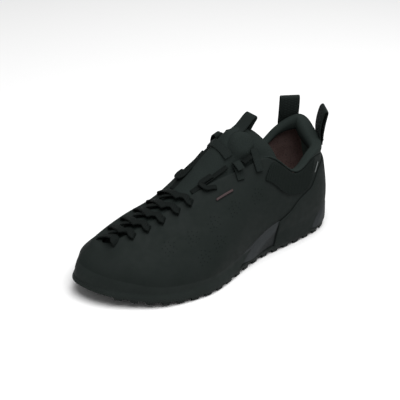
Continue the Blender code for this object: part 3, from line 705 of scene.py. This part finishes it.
# Heel cap
# A film with a wing on each side down to the outsole, joined round the back above the bare foam.
# It is pressed hot onto the upper and the foam.
CAP = 0.0009
CAP_EASED = 0.10
CAP_HALF = ((3.90, -1, 3.72, 0.165), (3.50, -1, 3.35, 0.26), (3.0, -1, 2.95, 0.44), (2.5, -0.9, 2.6, 0.50),
            (2.2, -0.34, 2.3, 0.52), (1.95, -0.03, 2.02, 0.60), (1.70, 0.085, 1.65, 0.70),
            (1.2, 0.08, 1.2, 0.76), (0.6, 0.075, 0.6, 0.79))
CAP_BACK = (0, 0.075, 0, 0.80)
cap_table = list(CAP_HALF) + [CAP_BACK] + mirrored(CAP_HALF)[::-1]
cap = overlay("heel_cap_film", cap_table, 260, 30, LAYER_GAP, CAP, CAP_EASED)
dressed(cap, "overlay", microfibre_finish("heel cap film"), stands_for=("heel_cap",))

# Knit panels
# A window of ribbed black knit below the collar, one on each side.
# It is glued flush over the microfibre, with its ribs upright.
KNIT_OUT = 0.0006
KNIT_EASED = 0.05
KNIT_HALF = ((4.50, 0.755, 4.46, 0.775), (4.15, 0.68, 4.10, 0.90), (3.65, 0.585, 3.70, 0.94),
             (3.2, 0.575, 3.2, 0.945), (2.78, 0.580, 2.72, 0.94), (2.42, 0.60, 2.30, 0.925),
             (2.16, 0.70, 1.85, 0.90))


def knit_finish(name):
    """Ribbed knit: fine wales across the panel."""
    made = Finish(name, (0.0062, 0.0088, 0.0078), 0.90, Specular_IOR_Level=0.06)
    wave = made.add("ShaderNodeTexWave", Vector=made.place((1, 1, 1)), Scale=160.0, Distortion=1.5,
                    Detail=1.0, Detail_Scale=3.0)
    made.tint(made.spread(wave.outputs["Fac"], 0.2, 0.9, 0, 1), (0.0085, 0.0114, 0.0104))
    made.relief(wave.outputs["Fac"], 0.00030, 0.5)
    return made.material


knit = knit_finish("black ribbed knit")
for flank, table in (("outer", KNIT_HALF), ("inner", mirrored(KNIT_HALF))):
    panel = overlay(f"knit_window_{flank}", table, 72, 22, LAYER_GAP, KNIT_OUT, KNIT_EASED)
    if flank == "inner":
        edited(bpy.ops.mesh.normals_make_consistent, inside=False)
    dressed(panel, "knit", knit, stands_for=(f"knit_panel_{flank}",))

# Collar pad
# A soft knit roll over foam round the foot opening, stuffed fuller at the heel, and a pad of the same inside.
# Both are sewn along the upper's edge. The section gives shares of the roll's height and distances out.
ROLL_SECTION = ((0, 0), (0.35, 0.0010), (0.75, 0.0008), (1, -0.0012), (1, -0.0040), (0.6, -0.0058),
                (0, -0.0055), (0, -0.0028), (0, 0))
# round the heel the roll is stuffed fuller: middle and reach in turns, then the distance
FULL_RISE = (-0.6, 1.4, 0.0042)
FULL_OUT = (-0.2, 0.8, 0.0024)
FULL_IN = (0.3, 1.9, 0.0062)
# where the roll starts on the outer side and how far round it goes, its gap from the wall and its own depth
ROLL_START = 4.4
ROLL_SPAN = 8.5
ROLL_GAP = 0.004
ROLL_DEEP = 0.0058
ROLL_EASE = 0.05
PILE_LIGHT = 1.22


def stuffed(turn, full):
    """How much fuller the roll is at a place round the shoe."""
    middle, reach, distance = full
    return distance * np.exp(-((turn - middle) / reach) ** 2)


def collar_place(across, around):
    turn = ROLL_START - ROLL_SPAN * across
    low = by_turn(PAD, turn) + ROLL_GAP
    tall = 1 - low
    full = np.clip(tall / ROLL_EASE, 0, 1)
    row = smooth_table(ROLL_SECTION, around)
    up = np.clip(row[:, 0], 0, 1)
    inward = np.clip(-row[:, 1] / ROLL_DEEP, 0, 1)
    out = row[:, 1] * full - stuffed(turn, FULL_IN) * inward + stuffed(turn, FULL_OUT) * up * (1 - inward)
    points = layer(turn, np.clip(low + tall * row[:, 0], None, 1), out)
    points[:, 2] += stuffed(turn, FULL_RISE) * up
    return points


def capped(piece):
    """Fills the open ends and turns the faces out."""
    bpy.context.view_layer.objects.active = piece
    bpy.ops.object.mode_set(mode="EDIT")
    bpy.ops.mesh.select_all(action="DESELECT")
    bpy.ops.mesh.select_non_manifold()
    bpy.ops.mesh.edge_face_add()
    bpy.ops.object.mode_set(mode="OBJECT")
    edited(bpy.ops.mesh.normals_make_consistent, inside=False)
    return piece


def padding_finish(name, colour):
    """Brushed grey green knit over foam."""
    made = Finish(name, colour, 0.85, Specular_IOR_Level=0.08)
    cells = made.add("ShaderNodeTexVoronoi", Vector=made.place(), Scale=900.0)
    made.tint(made.spread(cells.outputs["Distance"], 0.1, 0.6, 0, 1), lighter(colour, PILE_LIGHT))
    made.relief(cells.outputs["Distance"], 0.00020, 0.45)
    made.grain(120, 3, 0.00030, 0.25)
    return made.material


padding = padding_finish("grey green collar knit", (0.0122, 0.0168, 0.0154))
# the padded heel lining inside, from the middle of the heel round the outer side
HEEL_PAD = (-0.55, 3.3)
HEEL_PAD_LOW = 0.24
HEEL_PAD_TALL = 0.70
HEEL_PAD_NEAR = 0.0032
HEEL_PAD_DEEP = 0.0046
HEEL_PAD_END = 0.05


def heel_pad_place(across, up):
    turn = HEEL_PAD[0] + (HEEL_PAD[1] - HEEL_PAD[0]) * across
    ends = np.clip(np.minimum(across, 1 - across) / HEEL_PAD_END, 0, 1) ** 0.5
    filling = np.sin(np.pi * np.clip(up, 0, 1)) ** 0.5 * ends
    return layer(turn, HEEL_PAD_LOW + HEEL_PAD_TALL * up, -HEEL_PAD_NEAR - HEEL_PAD_DEEP * filling)


heel_pad = wrap("heel_lining_pad", 90, 30, heel_pad_place)
applied(heel_pad, "SOLIDIFY", thickness=FILM_BODY, offset=0)
# painted light: the heel lining pad has the collar knit's finish in a colour about five times lighter,
# standing in for light falling inside the heel
dressed(heel_pad, "padding", padding_finish("heel lining knit with painted light", (0.060, 0.083, 0.076)))
collar = capped(wrap("collar_roll", 200, 32, collar_place, merge=True))
dressed(collar, "padding", padding, stands_for=("collar_pad",))

# Tongue
# A padded knit tongue, thin at the toe and stuffed at its top, where a round pad is quilted on.
# It is sewn under the throat at the toe, and its sides slide in under both edges.
# turns at both ends of the throat's outer and inner edge, and how many places of each are read
outer_way = np.linspace(3.4, 10, 265)
inner_way = np.linspace(12.3, 18.6, 253)
outer_along = profile(outer_way)[:, 6]
inner_along = profile(inner_way)[:, 6]
# height of the arch over the throat: place along, height, both in shares
BULGE = ((-0.215, 0.125), (-0.180, 0.165), (-0.150, 0.203), (-0.115, 0.236), (-0.075, 0.235), (-0.030, 0.150),
         (0.030, 0.065), (0.100, 0.030), (0.350, 0.012))
# levels down the wall for one width of the throat
EDGE_LEVELS = 0.4


def edge_turns(along):
    """The turns of the outer and the inner edge of the throat at a distance along the shoe."""
    return np.interp(along, outer_along, outer_way), np.interp(-along, -inner_along, inner_way)


def bulge(along):
    return np.interp(along / LENGTH, [b[0] for b in BULGE], [b[1] for b in BULGE]) * HEEL_HEIGHT


def cover(along, across, lift):
    """A place over the throat: across is 0 at the outer edge, 1 at the inner one, past them on the wall."""
    outer, inner = edge_turns(along)
    if across < 0:
        return layer(outer, 1 + across * EDGE_LEVELS, lift)
    if across > 1:
        return layer(inner, 1 - (across - 1) * EDGE_LEVELS, lift)
    point = skin(outer, 1) * (1 - across) + skin(inner, 1) * across
    return point + np.array((0, 0, bulge(along) * 4 * across * (1 - across) + lift))


TONGUE_TOE = 0.345
TONGUE_TOP = -0.215
DISC_ALONG = -0.090
DISC_ACROSS = 0.22
DISC_REACH = 0.0122
DISC_RISE = 0.0026
DISC_SLOPE = 0.0020
DISC_LEAN = 0.7
# the quilting's groove round the disc: depth, distance out from its edge, width
GROOVE = (0.0009, 0.0006, 0.0009)
# depth of the tongue under the throat's edge: place along in shares from the heel's end, depth
TONGUE_UNDER = ((-0.345, 0.0050), (-0.29, 0.0031), (0.10, 0.0031), (0.16, 0.0072))
EDGE_CLEAR = 0.0022
TONGUE_ROWS = 71
TONGUE_THICK = 0.0024
# the toe end, deeper under the vamp: turns, level, depth
TOE_END = (9.4, 13.0)
TOE_END_LEVEL = 0.84
TOE_END_UNDER = 0.0066


def tongue_line(along):
    """The outside of the tongue across the throat, from under the outer edge to under the inner one."""
    outer, inner = edge_turns(along)
    under = np.interp(-along / LENGTH, [u[0] for u in TONGUE_UNDER], [u[1] for u in TONGUE_UNDER])
    row = [layer(outer, level, -under) for level in (0.82, 0.92)]
    other = [layer(inner, level, -under) for level in (0.92, 0.82)]
    first = layer(outer, 1.0, -under)
    last = layer(inner, 1.0, -under)
    clear = (last - first) / np.linalg.norm(last - first) * EDGE_CLEAR
    first = first + clear
    last = last - clear
    for across in (0, 0.14, 0.32, 0.5, 0.68, 0.86, 1):
        arch = np.array((0, 0, bulge(along) * 4 * across * (1 - across)))
        row.append(first * (1 - across) + last * across + arch)
    return np.array(row + other)


def tongue_place(across, up):
    """Across runs over the throat, up along the tongue from the toe."""
    stations = np.linspace(TONGUE_TOE, TONGUE_TOP, TONGUE_ROWS) * LENGTH
    lines = np.array([tongue_line(station) for station in stations])
    turns = np.linspace(*TOE_END, lines.shape[1])
    first = np.array([layer(turn, TOE_END_LEVEL, -TOE_END_UNDER) for turn in turns])
    lines = np.concatenate((first[None], lines))
    rows = np.round(up * TONGUE_ROWS).astype(int)
    points = np.zeros((len(across), 3))
    for row in range(TONGUE_ROWS + 1):
        chosen = rows == row
        points[chosen] = smooth_table(lines[row], across[chosen])
    disc = cover(DISC_ALONG * LENGTH, DISC_ACROSS, 0)
    away = np.linalg.norm(points - disc, axis=1)
    rise = np.clip((DISC_REACH - away) / DISC_SLOPE, 0, 1)
    deep, beyond, wide = GROOVE
    groove = deep * np.exp(-((away - DISC_REACH - beyond) / wide) ** 2)
    rise = rise * rise * (3 - 2 * rise) * DISC_RISE - groove
    points[:, 2] += rise
    points[:, 1] += DISC_LEAN * rise
    return points


tongue = wrap("tongue_pad", 60, TONGUE_ROWS, tongue_place)
applied(tongue, "SOLIDIFY", thickness=TONGUE_THICK, offset=-1)
applied(tongue, "SUBSURF", levels=1, render_levels=1)
tongue_knit = padding_finish("tongue knit", (0.0112, 0.0152, 0.0140))
dressed(tongue, "padding", tongue_knit, stands_for=("tongue",))

# Insole
# A thin foam insole faced with the lining's red brown cloth, with a rounded upper edge.
# It lies loose in the midsole's cup.
INSOLE = 0.0035
INSOLE_IN = 0.0075
# rings from its middle below to its middle above: share drawn in, height
INSOLE_RINGS = ((1.0, 0.0004), (0.04, 0.0004), (0.032, INSOLE * 0.5), (0.05, INSOLE), (0.3, INSOLE),
                (0.6, INSOLE), (1.0, INSOLE))


def insole_place(across, up):
    rings = []
    for share, height in INSOLE_RINGS:
        ring = drawn_in(layer(ROWS * (1 - across), 0.0, -INSOLE_IN), share)
        ring[:, 2] = bed_height(ring) + height
        rings.append(ring)
    return from_rings(rings, up)


insole = wrap("insole_sheet", 176, len(INSOLE_RINGS) - 1, insole_place, merge=True)
dressed(insole, "lining", lining_finish("insole cloth", (200, 20, 1)), stands_for=("insole",))

# Laces
# One flat braided polyester lace, crossed from the toe to the sixth row and then run up both sides.
# It goes over the throat's edge and down into each eyelet.
LACE_WIDTH = 0.0076
LACE_THICK = 0.0019
LACE_LIFT = 0.0026
RUN_WIDTH = 0.85 * LACE_WIDTH
TURN_WIDTH = 0.8 * LACE_WIDTH
# rows of eyelets along the shoe in shares, and how much further forward the inner ones stand
ROW_ALONG = (0.364, 0.318, 0.269, 0.219, 0.167, 0.122)
INNER_SHIFT = 0.012
# a crossing: how far behind its row it starts, where across, how far past the edge it ends, its lifts
CROSS_BACK = 0.018
CROSS_START = 0.10
PAST_EDGE = 0.29
OVER_LIFT = 0.0010
UNDER_LIFT = -0.0004
BAR_POINTS = 9
RUN_POINTS = 8
BRAID_LIGHT = 1.9


def swept(name, path, sides, width, thick, corners=12, columns=None, square=0.5):
    """A flat cord along a path, its width along the sides given at the path's points."""
    path = np.asarray(path, float)
    sides = np.broadcast_to(np.asarray(sides, float), path.shape)
    count = columns or max(12, 6 * (len(path) - 1))
    share = np.linspace(0, 1, count + 1)
    line = smooth_table(path, share)
    side = smooth_table(sides, share)
    run = np.gradient(line, axis=0)
    run = run / np.linalg.norm(run, axis=1, keepdims=True)
    side = side - run * (run * side).sum(1, keepdims=True)
    side = side / np.linalg.norm(side, axis=1, keepdims=True)
    normal = np.cross(run, side)

    def place(across, up):
        k = np.round(across * count).astype(int)
        angle = up * math.tau
        flat = np.sign(np.cos(angle)) * np.abs(np.cos(angle)) ** square * width / 2
        tall = np.sign(np.sin(angle)) * np.abs(np.sin(angle)) ** square * thick / 2
        return line[k] + side[k] * flat[:, None] + normal[k] * tall[:, None]
    return capped(wrap(name, count, corners, place, merge=True))


def braid_finish(name, colour, along, around):
    """Herringbone braid of fine black yarn. The counts are the stitches along and around the piece."""
    made = Finish(name, colour, 0.80, Specular_IOR_Level=0.10)
    one = made.add("ShaderNodeTexWave", Vector=made.place((along, around, 1), True, 0.6), Scale=1.0)
    two = made.add("ShaderNodeTexWave", Vector=made.place((along, around, 1), True, -0.6), Scale=1.0)
    braid = made.maths("MULTIPLY", one.outputs["Fac"], two.outputs["Fac"])
    made.tint(made.spread(braid, 0.0, 0.8, 0, 1), lighter(colour, BRAID_LIGHT))
    made.relief(braid, 0.00020, 0.7)
    return made.material


lace_braid = braid_finish("black braided lace", (0.0030, 0.0044, 0.0040), 9, 5)


def bar_path(start, end, count, lift):
    """Points between two places over the throat, each along and across in shares."""
    path = []
    for part in np.linspace(0, 1, count):
        along = (start[0] * (1 - part) + end[0] * part) * LENGTH
        across = start[1] * (1 - part) + end[1] * part
        path.append(cover(along, across, lift))
    return np.array(path)


# levels and lifts of a lace's last points, over the throat's edge and down into its eyelet
EYELET_OUTER = ((0.930, 0.0011), (0.904, -0.0016))
EYELET_INNER = ((0.905, 0.0011), (0.878, -0.0016))


def into_eyelet(place):
    """The last two points of a lace that goes over the throat's edge at a place along and across."""
    outer, inner = edge_turns(place[0] * LENGTH)
    if place[1] > 0.5:
        return [layer(inner, level, out) for level, out in EYELET_INNER]
    return [layer(outer, level, out) for level, out in EYELET_OUTER]


def lace(name, start, end, lift, node, both=False):
    """A lace over the throat that goes down into an eyelet at its end, or at both of its ends."""
    path = list(bar_path(start, end, BAR_POINTS, LACE_LIFT + lift))
    path = path[:-1] + into_eyelet(end)
    if both:
        path = into_eyelet(start)[::-1] + path[1:]
    side = np.cross(path[-2] - path[1], (0, 0, 1.0))
    return dressed(swept(name, path, side, LACE_WIDTH, LACE_THICK), "cord", lace_braid, stands_for=(node,))


BAR_OUTER = ROW_ALONG[0] + 0.004
BAR_INNER = ROW_ALONG[0] + INNER_SHIFT + 0.002
lace("lace_toe_bar", (BAR_OUTER, -PAST_EDGE), (BAR_INNER, 1 + PAST_EDGE), 0.0, "lace_bar", both=True)
for number in range(1, len(ROW_ALONG)):
    near = ROW_ALONG[number - 1]
    after = ROW_ALONG[number]
    lace(f"lace_over_{number}", (near - CROSS_BACK, CROSS_START), (after + INNER_SHIFT, 1 + PAST_EDGE),
         OVER_LIFT, f"lace_crossing_{number}")
    lace(f"lace_under_{number}", (near + INNER_SHIFT - CROSS_BACK, 1 - CROSS_START), (after, -PAST_EDGE),
         UNDER_LIFT, f"lace_crossing_{number}")
# plain runs up both sides: name, place of the start and of the end, lift
LACE_RUNS = (("side_outer", (0.104, 0.11), (-0.024, 0.13), -0.0012),
             ("side_inner", (0.116, 0.89), (-0.018, 0.88), -0.0012),
             ("top_outer", (-0.073, 0.03), (-0.1035, 0.05), LACE_LIFT),
             ("top_inner", (-0.085, 0.97), (-0.1105, 0.96), LACE_LIFT))
for place, start, stop, lift in LACE_RUNS:
    line = bar_path(start, stop, RUN_POINTS, lift)
    run = swept(f"lace_run_{place}", line, np.cross(line[-1] - line[0], (0, 0, 1.0)), RUN_WIDTH, LACE_THICK)
    dressed(run, "cord", lace_braid, stands_for=(f"lace_{place}",))
# the turn back from a side run into the seventh eyelet: along, across, lift, then the way of the lace's width
LACE_TURN = ((0.030, 0.12, 0.0012, 0.0, -1.0), (0.056, 0.12, 0.0016, 0.0, -1.0),
             (0.070, 0.09, 0.0022, 0.6, -0.8), (0.072, 0.01, 0.0026, 1.0, 0.0),
             (0.062, -0.07, 0.0020, 0.8, 0.6), (0.046, -0.12, 0.0014, 0.7, 0.7),
             (0.034, -0.155, 0.0002, 0.7, 0.7), (0.032, -0.18, -0.0020, 0.7, 0.7))


def lace_turn(name, shift, inner):
    """The lace's turn on one side, moved along the shoe by a shift."""
    path = []
    ways = []
    for along, across, lift, ahead, aside in LACE_TURN:
        path.append(cover((along + shift) * LENGTH, 1 - across if inner else across, lift))
        ways.append((ahead, -aside if inner else aside, 0.0))
    return dressed(swept(name, path, ways, TURN_WIDTH, LACE_THICK), "cord", lace_braid)


lace_turn("lace_turn_outer", 0, False)
lace_turn("lace_turn_inner", INNER_SHIFT, True)

# Webbing
# Flat woven nylon tape: pull loops at the heel and on the tongue, a band over it, the lace's loops and tabs.
# Every end is sewn down on the wall or into the throat's edge.
WEBBING_THICK = 0.0014
HEEL_LOOP_WIDTH = 0.020
TONGUE_LOOP_WIDTH = 0.0135
BAND_WIDTH = 0.0085
TAB_WIDTH = 0.0070
webbing = braid_finish("black woven webbing", (0.0075, 0.0105, 0.0096), 14, 12)


def loop(name, path, side, width):
    """A tape along a path with rounded edges."""
    tape = swept(f"{name}_tape", path, side, width, WEBBING_THICK, corners=20, columns=90, square=0.3)
    dressed(tape, "webbing", webbing, stands_for=(name,))


def heel_loop(name, turn, low, tall, near, lean, heading):
    """A loop sewn to the outside of the heel and standing above the collar."""
    edge = skin(turn, 1)
    away = np.array((math.cos(math.radians(heading)), math.sin(math.radians(heading)), 0))
    path = [layer(turn, level, near) for level in (low, low / 2 + 0.47, 0.94)]
    for out, share in ((near - 0.0010, 0.20), (lean * 0.5, 0.60), (lean, 0.97), (lean + 0.0030, 1.0),
                       (lean * 0.5 + 0.0040, 0.62), (near + 0.0026, 0.22)):
        path.append(edge + away * out + np.array((0, 0, share * tall)))
    for level, out in ((0.94, 0.0026), (low / 2 + 0.47, 0.0020), (low, 0.0018)):
        path.append(layer(turn, level, near + out))
    loop(name, path, np.cross(away, (0, 0, 1.0)), HEEL_LOOP_WIDTH)


# turn, level of the seam, height, distance from the wall, lean, heading
heel_loop("heel_loop_outer", 0.40, 0.88, 0.0270, 0.0027, 0.0046, 147)
heel_loop("heel_loop_inner", -1.35, 0.80, 0.0225, 0.0022, 0.0015, -119)
# points of the tongue's loop from its seat, in metres
TONGUE_LOOP = ((0.0000, 0, -0.0012), (-0.0048, 0, 0.0010), (-0.0100, 0, 0.0050), (-0.0150, 0, 0.0092),
               (-0.0185, 0, 0.0106), (-0.0192, 0, 0.0084), (-0.0165, 0, 0.0050), (-0.0138, 0, 0.0014),
               (-0.0122, 0, -0.0012))
TONGUE_LOOP_ALONG = -0.100
seat = cover(TONGUE_LOOP_ALONG * LENGTH, 0.5, 0.0)
loop("tongue_loop", seat + np.array(TONGUE_LOOP), (0, 1, 0), TONGUE_LOOP_WIDTH)


def over_throat(name, places, lift, width):
    """A strap over places of the throat, each along and across."""
    path = [cover(along * LENGTH, across, lift) for along, across in places]
    side = [cover((along + 0.01) * LENGTH, across, lift) - cover((along - 0.01) * LENGTH, across, lift)
            for along, across in places]
    loop(name, path, np.array(side), width)


BAND_PLACES = ((-0.042, 0.89), (-0.036, 0.70), (-0.033, 0.47), (-0.035, 0.30), (-0.038, 0.19))
over_throat("tongue_band", BAND_PLACES, 0.0014, BAND_WIDTH)
# name, along, places across from the tongue down over the edge
TOP_TABS = (("outer", -0.119, (0.11, 0.0, -0.12, -0.30)), ("inner", -0.126, (0.88, 1.0, 1.09, 1.17)))
for end, along, places in TOP_TABS:
    over_throat(f"top_tab_{end}", [(along, across) for across in places], 0.0018, TAB_WIDTH)


def webbing_loop(name, along, sign, steps):
    """A folded strap on the throat's edge, its fold towards the middle."""
    rim = 0.5 - 0.5 * sign
    edge = cover(along * LENGTH, rim, 0)
    wall = [cover(along * LENGTH, 0.5 - sign * (0.5 + part), 0.0012) for part in (0.26, 0.13)]
    fold = [edge + np.array((0, -sign * across, up)) for across, up in steps]
    side = cover((along + 0.01) * LENGTH, rim, 0) - cover((along - 0.01) * LENGTH, rim, 0)
    loop(name, wall + fold, side, TAB_WIDTH)


# folds from the edge on: distance over the throat, and height above the edge
OUTER_FOLD = ((0.0, 0.0021), (0.0028, 0.0044), (0.0040, 0.0066), (0.0020, 0.0076), (-0.0020, 0.0056),
              (-0.0050, 0.0035))
INNER_FOLD = ((0.0, 0.0024), (0.0005, 0.0060), (0.0020, 0.0105), (0.0055, 0.0125), (0.0072, 0.0100),
              (0.0050, 0.0062))
webbing_loop("webbing_loop_outer", -0.052, 1, OUTER_FOLD)
webbing_loop("webbing_loop_inner", -0.070, -1, INNER_FOLD)

# Trims
# A plain red tab printed on the quarter and a strip of pale film beside the heel, both pressed on hot.
# The air holes are punched through the wall in loose clusters; here they are dark discs on the wall, painted
# shade for the inside of each hole.
TRIM = 0.0004
TRIM_EASED = 0.2
# turn and level of the lower end, then of the upper end
TAB_PLACE = ((6.10, 0.803, 6.10, 0.822), (5.64, 0.821, 5.64, 0.840))
STRIP_PLACE = ((1.97, 0.69, 1.92, 0.693), (1.67, 0.80, 1.61, 0.80))


def trim(name, ends, slot, colour, rough, grain):
    """A thin plain film laid on the wall between two ends."""
    made = Finish(name.replace("_", " "), colour, rough, Specular_IOR_Level=0.2)
    made.grain(grain, 2, 0.00004, 0.5)
    film = overlay(f"{name}_film", ends, 30, 8, LAYER_GAP, TRIM, TRIM_EASED)
    dressed(film, slot, made.material, stands_for=(name,))


trim("red_tab", TAB_PLACE, "red", (0.038, 0.022, 0.023), 0.6, 2500)
trim("pale_strip", STRIP_PLACE, "pale", (0.13, 0.14, 0.14), 0.5, 3000)
# air holes: seven clusters on each side by turn and level
HOLE_RADIUS = 0.00044
HOLES_EACH = 13
HOLE_SPREAD = 0.0078
HOLE_LIFT = 0.00006
GOLDEN_ANGLE = 2.39996
CLUSTERS = ((7.60, 0.62), (6.95, 0.60), (6.28, 0.62), (5.65, 0.65),
            (6.14, 0.405), (6.70, 0.345), (4.88, 0.65))


def punched(turn, level, marks):
    """Adds dark discs to the marks, painted shade for round holes, in a loose cluster on the wall along a
    spiral.
    """
    middle = layer(turn, level, 0.0)
    ahead = layer(turn + 0.05, level, 0.0) - middle
    above = layer(turn, level + 0.02, 0.0) - middle
    turn_reach = 0.05 / np.linalg.norm(ahead)
    level_reach = 0.02 / np.linalg.norm(above)
    for number in range(HOLES_EACH):
        away = HOLE_SPREAD * math.sqrt((number + 0.5) / HOLES_EACH)
        angle = number * GOLDEN_ANGLE
        place = (turn + away * math.cos(angle) * turn_reach, level + away * math.sin(angle) * level_reach)
        out = Vector(layer(*place, 0.001) - layer(*place, 0.0)).normalized()
        mouth = Vector(layer(*place, wall_out(*place) + HOLE_LIFT))
        stand = Matrix.Translation(mouth) @ out.to_track_quat("Z", "Y").to_matrix().to_4x4()
        bmesh.ops.create_circle(marks, cap_ends=True, segments=10, radius=HOLE_RADIUS, matrix=stand)


marks = bmesh.new()
for turn, level in CLUSTERS:
    punched(turn, level, marks)
    punched(inner_turn(turn), level, marks)
holes = bpy.data.objects.new("air_holes", bpy.data.meshes.new("air_holes"))
marks.to_mesh(holes.data)
marks.free()
bpy.context.collection.objects.link(holes)
# painted shade: the discs' near black colour stands for the shade inside the punched holes
hole_dark = Finish("shade in the holes", (0.0050, 0.0066, 0.0062), 0.9, Specular_IOR_Level=0.02)
dressed(holes, "microfibre", hole_dark.material)

# Camera, floor and light
# The camera stands at the photograph's angle, and one big softbox hangs over a pale floor.
CAMERA_HEADING = math.radians(48.85)
CAMERA_RISE = math.radians(30.2)
CAMERA_ROLL = math.radians(2.5)
CAMERA_AWAY = 0.902
CAMERA_LENS = 86.4
CAMERA_SHIFT = (-0.0277, 0.0231)
AIM = Vector((0, -0.002, 0.045))
FLOOR_LEVEL = -0.0004
WORLD_LIGHT = 0.28


def heading_way(heading, rise):
    """The unit direction at a heading round the shoe and a rise above the floor, in radians."""
    flat = math.cos(rise)
    return Vector((flat * math.cos(heading), flat * math.sin(heading), math.sin(rise)))


back = heading_way(CAMERA_HEADING, CAMERA_RISE)
right = (-back).cross(Vector((0, 0, 1))).normalized()
up = right.cross(-back)
rolled_right = right * math.cos(CAMERA_ROLL) + up * math.sin(CAMERA_ROLL)
rolled_up = up * math.cos(CAMERA_ROLL) - right * math.sin(CAMERA_ROLL)
camera = bpy.data.objects.new("camera", bpy.data.cameras.new("camera"))
bpy.context.scene.collection.objects.link(camera)
stand = Matrix((rolled_right, rolled_up, back)).transposed().to_4x4()
stand.translation = AIM + back * CAMERA_AWAY
camera.matrix_world = stand
camera.data.sensor_width = 36
camera.data.lens = CAMERA_LENS
camera.data.shift_x = CAMERA_SHIFT[0]
camera.data.shift_y = CAMERA_SHIFT[1]
bpy.context.scene.camera = camera

bpy.ops.object.select_all(action="DESELECT")
bpy.ops.mesh.primitive_plane_add(size=12, location=(0, 0, FLOOR_LEVEL))
floor = bpy.context.active_object
floor.name = "floor"
floor.data.materials.append(Finish("pale floor", (0.86, 0.86, 0.86), 0.9, Specular_IOR_Level=0.1).material)


def soft_light(name, heading, rise, away, size, power):
    """A square softbox aimed at the shoe from a heading and a rise in degrees."""
    lamp = bpy.data.lights.new(name, "AREA")
    lamp.size = size
    lamp.energy = power
    lit = bpy.data.objects.new(name, lamp)
    bpy.context.scene.collection.objects.link(lit)
    way = heading_way(math.radians(heading), math.radians(rise))
    lit.location = way * away
    lit.rotation_mode = "QUATERNION"
    lit.rotation_quaternion = way.to_track_quat("Z", "Y")
    return lit


soft_light("overhead softbox", 100, 78, 1.5, 1.5, 34)
world = bpy.data.worlds.new("studio")
bpy.context.scene.world = world
world.use_nodes = True
world.node_tree.nodes["Background"].inputs["Color"].default_value = (1, 1, 1, 1)
world.node_tree.nodes["Background"].inputs["Strength"].default_value = WORLD_LIGHT
bpy.context.scene.view_settings.view_transform = "Standard"
